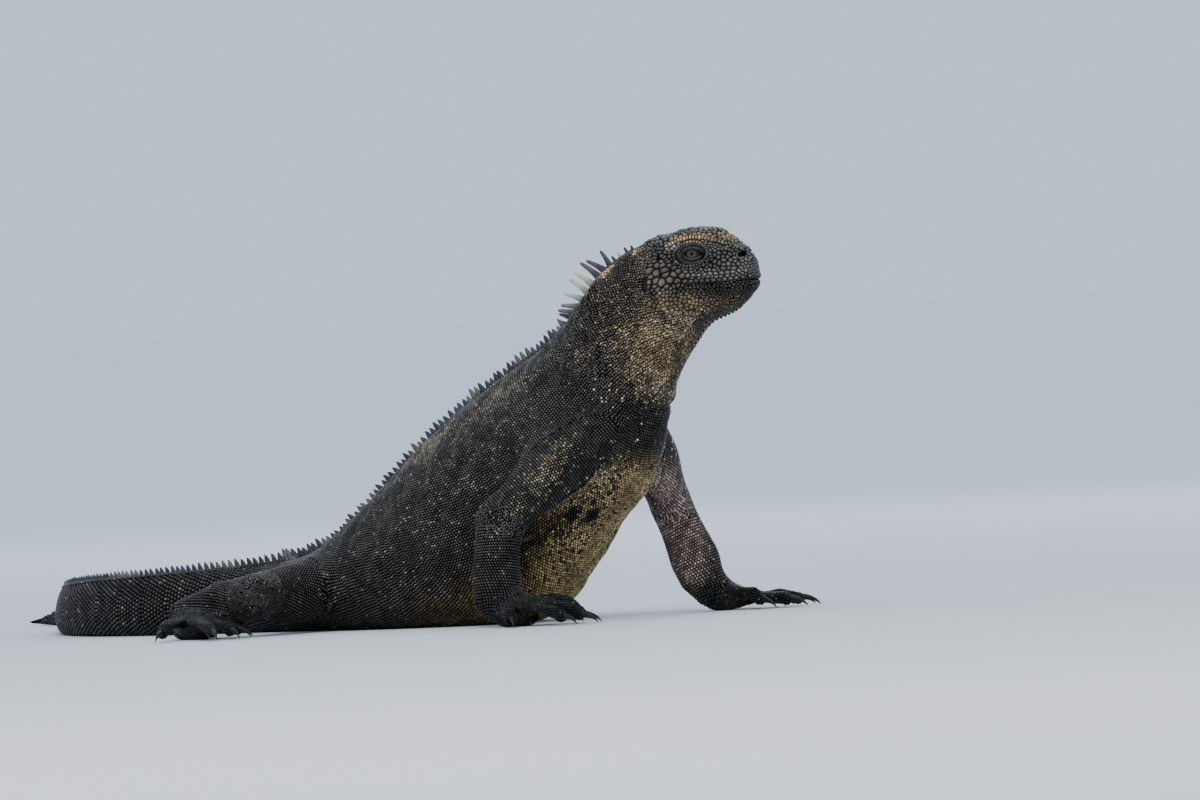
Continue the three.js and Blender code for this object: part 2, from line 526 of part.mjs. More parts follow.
// A toe that leaves the palm, arches over its knuckle and comes down on its tip, and its hooked claw.
const TOE_REST = 4.2; // height of a toe's middle when it lies flat
function toe(base, heading, length, radius, arch, grow = 0) {
  const ahead = point(Math.cos(heading), Math.sin(heading), 0);
  const at = (share, z) => base.clone().addScaledVector(ahead, length * share).setZ(z);
  const raisedTo = (z) => TOE_REST + (z - TOE_REST) * arch;
  const knuckles = [at(0.1, raisedTo(8.2)), at(0.45, raisedTo(8.8)), at(0.8, raisedTo(6))];
  const line = [at(-0.4, 6), ...knuckles, at(1 + grow / length, 3.1 - grow)];
  const hook = [at(0.88, 4.6), at(1 + (0.62 * CLAW.length) / length, 5), at(1 + CLAW.length / length, 0.4)];
  const clawRadius = (t) => CLAW.radius * Math.sqrt(Math.min(1, t * 5)) * (1 - t * 0.94);
  return {
    digit: swept(through(line), rounded(radius * 1.12 + grow, radius * 0.84 + grow, 0.14), 7, 7),
    claw: swept(new THREE.QuadraticBezierCurve3(...hook), clawRadius, 5, 3, 1.3),
  };
}
function cutBeyond(piece, place, normal, shift) {
  return piece.subtract(beyond(place.clone().addScaledVector(normal, shift), normal, 200));
}

for (const { side, kind, heading, arches, joints } of LIMBS) {
  const sign = SIDES[side];
  const [root, bend, end] = joints;
  const [upperName, lowerName, footName] = kind.names;
  const facing = radians(heading);
  const ahead = point(Math.cos(facing), Math.sin(facing), 0);
  const across = point(Math.sin(facing), -Math.cos(facing), 0).multiplyScalar(-sign);

  const { long, half, high } = kind.palm;
  const palmMiddle = end.clone().addScaledVector(ahead, long * 0.42).setZ(high * 0.78);
  const palmEnd = end.clone().addScaledVector(ahead, long * 0.8);
  const toes = kind.toes.map(([length, fan, aside, behind], i) => {
    const base = palmEnd.clone().addScaledVector(across, aside).addScaledVector(ahead, -behind);
    const shape = [base, facing - sign * radians(fan), length, kind.toeRadius, arches[i]];
    return { ...toe(...shape), grown: toe(...shape, GAP).digit };
  });

  const upper = segment(root, bend, kind.upper);
  const lower = segment(bend, end, kind.lower);
  const downwards = end.clone().sub(bend).normalize();
  const bendNormal = bend.clone().sub(root).normalize().add(downwards).normalize();
  const upperNode = cutBeyond(upper, bend, bendNormal, -GAP / 2).subtract(grownBody);
  const fromBend = cutBeyond(lower, bend, bendNormal.clone().negate(), -GAP / 2);
  const lowerNode = cutBeyond(fromBend, end, downwards, -GAP / 2).subtract(grownBody);
  const keepOffLower = cutBeyond(segment(bend, end, kind.lower, GAP), end, downwards, GAP / 2);
  const palm = ball(palmMiddle, long * 0.72, half, high, facing, 12);
  const foot = union([lower, palm, ...toes.map((t) => t.digit)]).subtract(keepOffLower).subtract(grownBody);
  addNode(`${upperName}_${side}`, upperNode.subtract(ground), MATERIALS.skin);
  addNode(`${lowerName}_${side}`, lowerNode.subtract(ground), MATERIALS.skin);
  addNode(`${footName}_${side}`, foot.subtract(ground), MATERIALS.foot);
  const keepOff = union(toes.map((t) => t.grown)).add(ground);
  const clawNames = toes.map((_, i) => `claw_${footName}_${side}_${i + 1}`);
  toes.forEach((t, i) => addNode(clawNames[i], t.claw.subtract(keepOff), MATERIALS.claw));
}

// The origin is the middle of the model's outline on the ground.
const bounds = new THREE.Box3().setFromObject(iguana);
const centre = bounds.getCenter(new THREE.Vector3());
iguana.position.set(-centre.x, -centre.y, 0);

export default iguana;
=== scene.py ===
"""A life-size marine iguana in its scaly hide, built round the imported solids.

Lengths in the tables are millimetres in the animal's own place: X forward along the trunk, Y to its left and
Z up from the ground. The body is the same surface through cross-sections as in the solids, closed into one
skin with the limbs, and the scales, spines and plates are small closed shapes set on that skin in rows.
"""

import bpy
import numpy as np
from mathutils import Matrix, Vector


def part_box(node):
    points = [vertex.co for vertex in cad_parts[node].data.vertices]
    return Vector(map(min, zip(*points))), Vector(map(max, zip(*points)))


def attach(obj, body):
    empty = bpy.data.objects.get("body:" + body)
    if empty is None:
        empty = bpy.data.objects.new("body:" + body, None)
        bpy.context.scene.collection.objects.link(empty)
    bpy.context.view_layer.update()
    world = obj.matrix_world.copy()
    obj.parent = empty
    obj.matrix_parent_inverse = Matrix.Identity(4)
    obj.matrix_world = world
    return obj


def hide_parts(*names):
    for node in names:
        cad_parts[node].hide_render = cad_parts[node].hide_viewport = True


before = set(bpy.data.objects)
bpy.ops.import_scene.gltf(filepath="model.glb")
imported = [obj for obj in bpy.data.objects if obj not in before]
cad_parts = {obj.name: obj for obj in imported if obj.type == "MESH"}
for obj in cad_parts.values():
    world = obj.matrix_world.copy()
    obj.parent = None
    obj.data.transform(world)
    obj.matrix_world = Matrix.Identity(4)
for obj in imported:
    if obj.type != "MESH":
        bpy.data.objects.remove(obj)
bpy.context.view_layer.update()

MM = 0.001
COAT = 0.45  # how far the skin lies inside the solids' faces, to leave room for its scales
LOWEST = 0.05  # no skin or claw lies lower, where the animal rests on the floor
random = np.random.default_rng(11)

# Shape of the body, with the values of the solids.
TAIL_ROOT_X = -190.0
TAIL_LENGTH = 455.0
TAIL_END_X = TAIL_ROOT_X - TAIL_LENGTH
SNOUT_CAP = 2.2
HEAD_TURN = np.radians(10)
TAIL_SWEEP = np.radians(62)
TAIL_RETURN = np.radians(24)
MUZZLE_X = 71.5  # front of the mouth, and the tilt of the line that the head's places are measured along
MUZZLE_Z = 159.9
MUZZLE_TIP = np.radians(2)

# Each section: a point on the back's line (x, z), one on the belly's (x, z), half width, the widest level
# as a share of the way up, and how square it is above and below that level.
SECTIONS = np.array([
    (67.8, 171, 67, 153.2, 8.2, 0.42, 2.3, 2.3),
    (64, 175.8, 63.2, 149.2, 10.9, 0.42, 2.3, 2.4),
    (58.2, 180.2, 58, 145.6, 13.1, 0.42, 2.3, 2.5),
    (50.6, 185.2, 52.4, 143.2, 15.2, 0.44, 2.4, 2.4),
    (40.6, 185.8, 46.2, 140.8, 17.2, 0.46, 2.5, 2.3),
    (30.8, 183.4, 40.9, 136.4, 19.4, 0.46, 2.4, 2.2),
    (20.6, 181.6, 36.8, 131, 20.7, 0.47, 2.3, 2.1),
    (9.6, 177.8, 32.2, 124.4, 20.4, 0.48, 2.1, 2),
    (-1.6, 171.8, 27.7, 117.6, 20.6, 0.48, 2, 2),
    (-11.6, 164.8, 23.4, 109.6, 21.8, 0.46, 2, 2),
    (-22.9, 152.3, 19.4, 100.6, 25.2, 0.44, 2, 2.1),
    (-33.4, 139.4, 14, 85.4, 30, 0.44, 2, 2.2),
    (-46, 130, 8, 70.2, 35, 0.46, 2.1, 2.2),
    (-61.6, 121, -0.4, 57.8, 38, 0.46, 2.1, 2.2),
    (-80.6, 110, -16, 42, 41, 0.44, 2.1, 2.2),
    (-102, 95.8, -32, 22.6, 44, 0.42, 2.1, 2.3),
    (-123, 79, -56, 2, 46.5, 0.42, 2.1, 2.5),
    (-142, 62, -92, -3, 46.5, 0.42, 2.1, 2.6),
    (-159.4, 48, -128, -3, 42, 0.44, 2.1, 2.5),
    (-174.6, 39.4, -156, -2.5, 34, 0.46, 2.1, 2.4),
    (-190, 35, -180, -2, 25.5, 0.48, 2, 2.3),
    (-208, 32.8, -204, -1.6, 18, 0.46, 1.9, 2.2),
    (-238, 31.2, -236, -1.2, 12.6, 0.42, 1.8, 2),
    (-282, 29.4, -282, -1, 9.4, 0.40, 1.7, 2),
    (-340, 27.2, -340, -0.8, 7.2, 0.38, 1.6, 2),
    (-405, 23.8, -405, -0.6, 5.7, 0.38, 1.6, 2),
    (-470, 19.4, -470, -0.5, 4.4, 0.38, 1.7, 2),
    (-530, 13.8, -530, -0.4, 3.2, 0.40, 1.8, 2),
    (-590, 7.6, -590, -0.3, 2.1, 0.42, 2, 2),
    (TAIL_END_X, 2, TAIL_END_X, 0.4, 0.7, 0.50, 2, 2),
])
LAST = len(SECTIONS) - 1

NOSTRIL = {"back": 6.1, "up": 12.1, "radius": 1.4, "deep": 2.3}
EYE = {"back": 29.3, "up": 14.3, "out": 10.6, "radius": 5.2, "facing": np.radians(80)}
SOLID_EYE_UP = 15.1  # height of the eye in the solids, and its distance back
SOLID_EYE_BACK = 29.1
EAR = {"back": 51.5, "up": 2.0}
MOUTH = {"corner": 33.0, "sag": 0.7, "groove": 1.0, "wide": 0.55}

# Rises and hollows of the head's sides: back, up, how far they spread each way and how far they stand out.
HEAD_FORMS = [
    (30, 23.5, 11, 2.6, 1.3),  # brow
    (29, 14.5, 8, 5, -1.3),  # hollow of the eye
    (15, 12, 5, 4, -0.9),  # before the eye
    (5, 13, 3.6, 3.4, 1.1),  # round the nostril
    (16, 3, 15, 2.2, 0.7),  # upper lip
    (18, -7, 9, 2.6, -1.2),  # under the lower lip
    (45, -5, 10, 10, 1.6),  # jowl
    (58, -4, 3.5, 14, -1.2),  # fold behind the ear
]
# Finer ones, which the skin alone has.
FACE_FORMS = [
    (6.0, 13.0, 2.6, 2.4, 0.8),  # rim of the nostril
    (29.1, 14.2, 4.6, 3.4, -1.1),  # behind the eye
    (EAR["back"], EAR["up"], 2.2, 3.2, -2.0),  # cup of the ear
    (47.4, 1.0, 1.3, 5.0, 0.6),  # rim before the ear
    (36.0, -3.5, 1.1, 3.4, -0.7),  # crease at the corner of the mouth
    (39.5, 0.5, 2.2, 5.0, 0.5),  # fold of the cheek behind it
    (22, 7.6, 6, 0.9, -0.4),  # crease under the eye
    (14, 16.5, 6, 1.0, -0.45),  # groove from the eye to the nostril
    (12.5, 9.5, 2.6, 2.2, 0.5),  # swelling before the eye
]
# Creases of the loose hide, on both sides: depth, width and the places that they run through.
FOLDS = [
    (0.8, 2.2, [(-6.8, 13.9, 158.1), (2.5, 22.9, 133.7), (7.0, 23.6, 111.5)]),  # side of the neck
    (0.5, 2.0, [(7.3, 17.7, 155.8), (15.2, 18.1, 129.1), (15.0, 17.5, 114.0)]),
    (0.4, 1.8, [(0.0, 15.8, 157.5), (8.6, 21.5, 131.0), (11.0, 21.5, 113.0)]),
    (0.6, 2.2, [(-14.5, 16.0, 151.0), (-5.0, 26.0, 125.0), (-1.5, 27.5, 108.0)]),
    (1.2, 2.4, [(18.6, 0.0, 99.2), (15.8, 12.8, 100.8), (7.5, 23.3, 107.2), (4.2, 25.0, 113.1)]),  # throat
    (1.3, 1.9, [(-17.8, 35.0, 99.2), (-27.8, 38.2, 88.7), (-42.5, 40.2, 76.8)]),  # behind the shoulder
    (0.8, 2.0, [(-30, 34, 106), (-52, 41, 84), (-64, 43, 62)]),
    (0.6, 2.2, [(-48, 34, 104), (-72, 42.5, 78), (-84, 45, 52)]),
    (0.9, 1.7, [(-39.2, 37.5, 44.7), (-29.5, 33.8, 52.3), (-11.9, 26.9, 60.6), (3.3, 15.9, 68.3)]),  # armpit
    (0.6, 1.6, [(-44, 38.5, 37.0), (-26, 31.5, 46.5), (-12, 24.0, 53.0)]),
    (1.0, 2.2, [(-140, 46, 40), (-146, 46, 24), (-146, 44, 10)]),  # before the thigh
    (0.7, 2.4, [(-118, 46, 44), (-128, 46.5, 26), (-130, 46, 8)]),
]
# The limbs as placed: side, the foot's heading in degrees, how far each toe arches, and the three joints.
LIMBS = [
    {
        "side": -1, "kind": "fore", "heading": -2, "arches": (1.6, 2.2, 1.7, 1.2, 0.8),
        "joints": [(-4, -28, 89), (-44, -56, 51), (-42.6, -62, 13)],
    },
    {
        "side": 1, "kind": "fore", "heading": 32, "arches": (1.2, 0.4, 0.4, 0.4, 0.6),
        "joints": [(-9, 27, 89), (-17.5, 66, 53), (-2.4, 70, 13)],
    },
    {
        "side": -1, "kind": "hind", "heading": -36, "arches": (1, 1, 1, 1, 1),
        "joints": [(-166, -20, 21), (-170, -74, 20), (-212, -72, 11.5)],
    },
    {
        "side": 1, "kind": "hind", "heading": 46, "arches": (1, 1, 1, 1, 1),
        "joints": [(-166, 20, 21), (-150, 70, 21), (-192, 78, 11.5)],
    },
]
# Of each kind of limb: radii along both segments, the palm's half length, half width and half height, and the
# toes' radius. Each toe has its length, its fan in degrees, and how far aside and behind it starts.
KINDS = {
    "fore": {
        "upper": (14.8, 14.6, 13.0, 12.2), "lower": (12.2, 12.8, 12.0, 11.0),
        "palm": (20, 10.5, 8), "toe": 3.5,
        "toes": [(18, 42, -8, 3), (26, 20, -4.5, 0), (31, 3, 0, 0), (31, -15, 4.2, 0.5), (22, -50, 7.5, 7)],
        "names": ("upper_arm", "forearm", "hand"),
    },
    "hind": {
        "upper": (16.5, 16.5, 14.2, 12.0), "lower": (12.0, 12.4, 9.6, 7.8),
        "palm": (26, 9.5, 6.6), "toe": 3.3,
        "toes": [(15, 34, -7, 4), (24, 17, -3.6, 1), (34, 3, 0, 0), (42, -10, 3.8, 0), (28, -42, 7, 10)],
        "names": ("thigh", "shank", "foot"),
    },
}
LIMB_UP = (0.31, 0.27, 0.91)  # the rings of the limbs start on this side, which none of them points to
CLAW_LENGTH = 8.5
CLAW_RADIUS = 1.6
TOE_REST = 4.2  # height of a toe's line where it lies flat, and of its knuckles where it arches
KNUCKLES = np.array([8.2, 8.8, 6.0])
TOE_ROWS = 26


def smooth(v, low, high):
    """Three t squared less two t cubed, of the share t that v has gone from low to high."""
    t = np.clip((v - low) / (high - low), 0, 1)
    return t * t * (3 - 2 * t)


def hump(v, centre, spread):
    """The bell e to the power of less the square of (v - centre) / spread."""
    return np.exp(-(((v - centre) / spread) ** 2))


def signed_power(v, power):
    """The size of v to a power, with the sign of v."""
    return np.sign(v) * np.abs(v) ** power


def unit(v):
    """Each vector divided by its length."""
    return v / np.maximum(np.linalg.norm(v, axis=-1, keepdims=True), 1e-12)


def full_turn(count):
    """Angles evenly round a circle, in radians."""
    return np.linspace(0, 2 * np.pi, count, endpoint=False)


def dense_at_ends(count):
    """Shares from 0 to 1 that lie closer at both ends: half of 1 less the cosine of an even half turn."""
    return (1 - np.cos(np.linspace(0, np.pi, count))) / 2


def bow(t, start, middle, end):
    """A parabola's bow: (1 - t) squared of its start, 2 t (1 - t) of its middle and t squared of its end."""
    return (1 - t) ** 2 * start + 2 * t * (1 - t) * middle + t**2 * end


def to_left(place):
    """The places, with those of the right side mirrored to the left."""
    return place * [1, 0, 1] + np.abs(place * [0, 1, 0])


def from_oval(back, up, middle, long, high):
    """Distance of the head's places from a middle, as a share of an oval's reach: 1 on its line."""
    return np.hypot((back - middle["back"]) / long, (up - middle["up"]) / high)


def catmull(table, at):
    """A smooth line through the table's rows.

    It is made of cubic Hermite pieces whose slopes are half the step over two rows.
    """
    padded = np.vstack([2 * table[:1] - table[1:2], table, 2 * table[-1:] - table[-2:-1]])
    at = np.clip(at, 0, len(table) - 1)
    i = np.minimum(at.astype(int), len(table) - 2)
    w = (at - i)[..., None]
    before, start, end, after = (padded[i + k] for k in range(4))
    leaving = (end - before) / 2
    arriving = (after - start) / 2
    curve = (2 * w**3 - 3 * w**2 + 1) * start + (3 * w**2 - 2 * w**3) * end
    return curve + (w**3 - 2 * w**2 + w) * leaving + (w**3 - w**2) * arriving


def heading_at(x):
    """Heading of the body seen from above: the head turns left, and the tail left and part way back."""
    behind = TAIL_ROOT_X - x
    swing = TAIL_RETURN * smooth(behind, 280, TAIL_LENGTH) - TAIL_SWEEP * smooth(behind, 0, 270)
    return HEAD_TURN * smooth(x, -15, 45) + swing


PLAN_X = np.arange(-660, 101)
steps = heading_at(PLAN_X[:-1] + 0.5)
PLAN = np.vstack([np.zeros(2), np.cumsum(np.stack([np.cos(steps), np.sin(steps)], -1), axis=0)])
PLAN -= PLAN[PLAN_X == 0]


def bend(along, ahead, side, z):
    """A place beside the straight body's line at along, carried to the line bent by its summed headings."""
    heading = heading_at(along)
    x = np.interp(along, PLAN_X, PLAN[:, 0]) + ahead * np.cos(heading) - side * np.sin(heading)
    y = np.interp(along, PLAN_X, PLAN[:, 1]) + ahead * np.sin(heading) + side * np.cos(heading)
    return np.stack([x, y, np.broadcast_to(z, x.shape)], -1)


def head_frame(x, z):
    """Distance back from the front of the mouth and up from its line, in the straight head's side view."""
    dx, dz = x - MUZZLE_X, z - MUZZLE_Z
    back = -dx * np.cos(MUZZLE_TIP) - dz * np.sin(MUZZLE_TIP)
    return back, dz * np.cos(MUZZLE_TIP) - dx * np.sin(MUZZLE_TIP)


def head_place(back, side, up):
    """The place that lies back from the front of the mouth, to the left and up, on the turned head."""
    x = MUZZLE_X - back * np.cos(MUZZLE_TIP) - up * np.sin(MUZZLE_TIP)
    z = MUZZLE_Z - back * np.sin(MUZZLE_TIP) + up * np.cos(MUZZLE_TIP)
    return bend(np.asarray(x, float), 0.0, np.asarray(side, float), z)


def forms(table, back, up):
    """Sum of the table's rises and hollows, each a bell in both directions."""
    return sum(out * hump(back, b, long) * hump(up, u, high) for b, u, long, high, out in table)


def section_place(q, turn, grow):
    """A place of the straight body: its section's place along, then ahead of that, to the side, x and z.

    Rise goes as the cosine of turn to the power 2 / squareness, and side as its sine to the same power. The
    section's own axis runs from the belly's line to the back's, and before q = 0 it closes as a round cap.
    """
    q, turn = np.broadcast_arrays(np.asarray(q, float), np.asarray(turn, float))
    bx, bz, vx, vz, half, wide, top, bottom = np.moveaxis(catmull(SECTIONS, q), -1, 0)
    height = np.hypot(bx - vx, bz - vz)
    upper = np.cos(turn) > 0
    power = 2 / np.where(upper, top, bottom)
    cap = np.sqrt(np.clip(1 - np.minimum(q, 0) ** 2, 0, 1))
    reach = height * np.where(upper, 1 - wide, wide) + grow
    share = (height * wide + signed_power(np.cos(turn), power) * reach * cap) / height
    x = vx + (bx - vx) * share
    z = vz + (bz - vz) * share
    out = np.where(q < 10, forms(HEAD_FORMS, *head_frame(x, z)), 0)
    side = signed_power(np.sin(turn), power) * (half + grow + out) * cap
    along = (bx + vx) / 2
    return along, x - along - np.minimum(q, 0) * SNOUT_CAP, side, x, z


def body_point(q, turn, grow=-COAT):
    """A place of the body's surface: q sections from the snout, and turned from the crest over the left."""
    along, ahead, side, _, z = section_place(q, turn, grow)
    return bend(along, ahead, side, np.maximum(z, LOWEST))


def mouth_line(back):
    """Height of the line of the mouth: level, with a low sag half way to the corner."""
    return -MOUTH["sag"] * np.sin(np.pi * np.clip(back / MOUTH["corner"], 0, 1))


def ripples(place, length, seed):
    """Slow waves in all directions: the mean of four products of sines of turned coordinates."""
    turned = np.random.default_rng(seed).normal(size=(4, 2, 3))
    waves = [np.sin(place @ a / length * 4) * np.sin(place @ b / length * 4 + 1.7) for a, b in turned]
    return sum(waves) / 2


def from_line(place, points):
    """Distance of each place from a line through the points: to the nearest place of its nearest stretch."""
    nearest = np.full(place.shape[:-1], np.inf)
    for a, b in zip(points[:-1], points[1:]):
        along = np.subtract(b, a)
        share = np.clip((place - a) @ along / (along @ along), 0, 1)
        nearest = np.minimum(nearest, np.linalg.norm(place - a - share[..., None] * along, axis=-1))
    return nearest


def creases(place):
    """Each fold is a groove between two swells: a bell inwards, and half of one outwards 2.3 widths away."""
    total = 0
    for depth, wide, points in FOLDS:
        away = from_line(to_left(place), np.array(points, float))
        total = total + depth * (0.5 * hump(away, 2.3 * wide, wide) - hump(away, 0, wide))
    return total


def skin_relief(q, place, back, up):
    """How far the skin stands out: forms of the face, lips, mouth and nostril, and folds of loose hide.

    Lips and mouth are bells across the line of the mouth. The folds of the neck are a sine of the distance
    back, whose phase wanders with the height and with slow ripples.
    """
    mouth_end = smooth(back, MOUTH["corner"] + 3, MOUTH["corner"] - 3)
    groove = hump(up, mouth_line(back), MOUTH["wide"]) * mouth_end
    lower_lip = hump(up, mouth_line(back) - 2, 1.3) * smooth(back, 38, 26)
    upper_lip = hump(up, mouth_line(back) + 1.9, 1.4) * mouth_end
    lips = (0.5 * lower_lip + 0.35 * upper_lip) * smooth(back, 0, 3)
    hole = smooth(from_oval(back, up, NOSTRIL, 1, 1), NOSTRIL["radius"] + 0.35, NOSTRIL["radius"] - 0.5)
    face = forms(FACE_FORMS, back, up) - MOUTH["groove"] * groove + lips
    face = face - NOSTRIL["deep"] * hole
    wander = 1.4 * np.sin(up / 5 + 0.3 * place[..., 1]) + ripples(place, 18, 8)
    folds = 0.16 * np.sin(back * 1.3 + wander) * smooth(q, 7.2, 8.6) * smooth(q, 11.5, 9.5)
    slack = 0.6 * ripples(place, 26, 3) * smooth(q, 7, 11) * smooth(q, 22, 19)
    return np.where(q < 8.2, face, 0) + folds + slack + creases(place) * smooth(q, 5.5, 7)


def mesh_object(name, vertices, faces, material=None):
    """A mesh of the arrays of vertices, in millimetres, and triangles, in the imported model's place."""
    mesh = bpy.data.meshes.new(name)
    mesh.vertices.add(len(vertices))
    mesh.vertices.foreach_set("co", ((vertices * MM) + SHIFT).ravel())
    mesh.loops.add(faces.size)
    mesh.loops.foreach_set("vertex_index", faces.ravel().astype(np.int32))
    mesh.polygons.add(len(faces))
    mesh.polygons.foreach_set("loop_start", np.arange(0, faces.size, 3, dtype=np.int32))
    mesh.polygons.foreach_set("use_smooth", np.ones(len(faces), bool))
    mesh.update(calc_edges=True)
    piece = bpy.data.objects.new(name, mesh)
    bpy.context.scene.collection.objects.link(piece)
    if material:
        mesh.materials.append(material)
    return piece


def rows_of(items, key, kind=float):
    """Three values of each of a mesh's items, as rows."""
    flat = np.empty(len(items) * 3, kind)
    items.foreach_get(key, flat)
    return flat.reshape(-1, 3)


def places_of(piece):
    """A mesh's vertices as an array in millimetres in the animal's own place."""
    return (rows_of(piece.data.vertices, "co") - SHIFT) / MM


def triangles_of(mesh):
    """A mesh's triangles as rows of three vertex numbers."""
    mesh.calc_loop_triangles()
    return rows_of(mesh.loop_triangles, "vertices", np.int32)


def tube_faces(count, around):
    """Triangles of rows of points that close round, whose first and last rows are one point each."""
    j = np.arange(around)
    after = (j + 1) % around
    i = 1 + around * np.arange(count - 3)[:, None]
    sides = np.stack([i + j, i + around + j, i + around + after, i + j, i + around + after, i + after], -1)
    first = np.stack([0 * j, 1 + j, 1 + after], -1)
    end = 1 + around * (count - 3)
    last = np.stack([0 * j + end + around, end + after, end + j], -1)
    return np.vstack([first, sides.reshape(-1, 3), last])


def tube(rows):
    """Vertices and triangles of rows of points, closed round, with each end row drawn to one point."""
    vertices = np.vstack([rows[0, :1], rows[1:-1].reshape(-1, 3), rows[-1, :1]])
    return vertices, facing_out(vertices, tube_faces(*rows.shape[:2]))


def ring(rows):
    """Vertices and triangles of a grid that closes on itself both ways, as a torus does."""
    count, around, _ = rows.shape
    i = np.arange(count)[:, None] * around
    below = (np.arange(count)[:, None] + 1) % count * around
    j = np.arange(around)
    after = (j + 1) % around
    faces = np.stack([i + j, below + j, below + after, i + j, below + after, i + after], -1).reshape(-1, 3)
    return rows.reshape(-1, 3), facing_out(rows.reshape(-1, 3), faces)


def facing_out(vertices, faces):
    """The faces, turned round if the volume that they enclose comes out negative."""
    a, b, c = (vertices[faces[:, k]] for k in range(3))
    return faces if np.einsum("ij,ij->", a, np.cross(b, c)) > 0 else faces[:, ::-1]


def length_along(line):
    """Length from a line's start to each of its points."""
    return np.concatenate([[0], np.linalg.norm(np.diff(line, axis=0), axis=1).cumsum()])


def axes_along(line, up):
    """The ways along a line, to its side, level as seen from up, and above it."""
    tangent = unit(np.gradient(line, axis=0))
    side = unit(np.cross(tangent, np.asarray(up, float)))
    return tangent, side, np.cross(side, tangent)


def swept(line, radius, around, flat=1.0, up=(0, 0, 1)):
    """Rows round a line: sideways by radius times sine, and upwards by radius times flat times cosine."""
    _, side, above = axes_along(line, up)
    turn = full_turn(around)
    across = side[:, None] * np.sin(turn)[:, None] + above[:, None] * flat * np.cos(turn)[:, None]
    return line[:, None] + radius[:, None, None] * across


def repeated(faces, each, count):
    """Triangles of a count of equal shapes, from those of one and the number of vertices in each."""
    return (faces[None] + each * np.arange(count)[:, None, None]).reshape(-1, 3)


def joined(parts):
    """Arrays of several shapes put end to end in one pair of vertices and triangles."""
    starts = np.cumsum([0] + [len(v) for v, _ in parts])
    return np.vstack([v for v, _ in parts]), np.vstack([f + s for (_, f), s in zip(parts, starts)])


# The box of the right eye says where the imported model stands.
box_low, box_high = (np.array(corner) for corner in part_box("eye_right"))
SHIFT = (box_low + box_high) / 2 - head_place(SOLID_EYE_BACK, -EYE["out"], SOLID_EYE_UP) * MM
SHIFT[2] = 0


# Skin: the body, the limbs' segments, palms and toes as closed tubes, joined to one surface.
SKIN_AROUND = 196
ROW_SPACING = ([0, 6.5, 8.5, 19.5, 22.5, 29], [0.5, 0.5, 1.1, 2.0, 5.5, 6.0])  # by q
LIMB_INSET = 0.35  # how far the limbs' skin lies inside the solids' faces
fine_q = np.linspace(0, LAST, 6000)
lines = catmull(SECTIONS[:, :4], fine_q)
line_steps = np.hypot(np.diff(lines[:, 0::2], axis=0), np.diff(lines[:, 1::2], axis=0)).mean(axis=1)
BODY_LENGTH = np.concatenate([[0], np.cumsum(line_steps)])  # length from the snout to each of fine_q


def rows_apart(spacing):
    """Values of q from snout to tail, whose rows lie the spacing apart along the body's middle."""
    density = np.diff(BODY_LENGTH) / np.interp(fine_q[1:], *spacing)
    count = np.concatenate([[0], np.cumsum(density)])
    return np.interp(np.linspace(0, count[-1], int(count[-1]) + 1), count, fine_q)


def body_skin():
    """The body's surface on a grid, pushed out along its own normals by the skin's relief."""
    cap = -np.cos(np.linspace(0, np.pi / 2, 15))[:-1]
    q = np.concatenate([cap, rows_apart(ROW_SPACING)])[:, None]
    turn = full_turn(SKIN_AROUND)[None]
    rows = body_point(q, turn)
    _, _, _, x, z = section_place(q, turn, -COAT)
    round_step = np.roll(rows, -1, axis=1) - np.roll(rows, 1, axis=1)
    out = unit(np.cross(np.gradient(rows, axis=0), round_step))
    out *= np.sign(np.einsum("ijk,ijk->", out[20:60], (rows - rows.mean(axis=1, keepdims=True))[20:60]))
    rows = rows + out * skin_relief(np.broadcast_to(q, x.shape), rows, *head_frame(x, z))[..., None]
    rows[..., 2] = np.maximum(rows[..., 2], LOWEST)
    return tube(rows)


def segment_line(a, b, radii, count):
    """Places and radii along a stretch of limb with round ends, on a smooth line through its four radii.

    At both ends the radius falls as a circle's does, and low wrinkles 4.2 mm apart run round the lower end.
    """
    a, b = np.array(a, float), np.array(b, float)
    start, end = radii[0], radii[3]
    along = unit(b - a)
    t = dense_at_ends(count)
    length = np.linalg.norm(b - a) + start + end
    behind = np.minimum(1, t * length / start)
    left = np.minimum(1, (1 - t) * length / end)
    share = np.clip((t * length - start) / (length - start - end), 0, 1)
    profile = catmull(np.array(radii, float)[:, None], share * 3)[:, 0]
    radius = (profile - LIMB_INSET) * np.sqrt(behind * (2 - behind) * left * (2 - left))
    wrinkles = 0.3 * np.sin(2 * np.pi * (1 - t) * length / 4.2) * smooth(t, 0.74, 0.88) * smooth(t, 1.0, 0.95)
    return a + along * (t * length - start)[:, None], radius + wrinkles


def lifted(base, way, shares, heights):
    """Places at shares of the way from a base, each at its own height."""
    places = base + way * np.array(shares)[:, None]
    places[:, 2] = heights
    return places


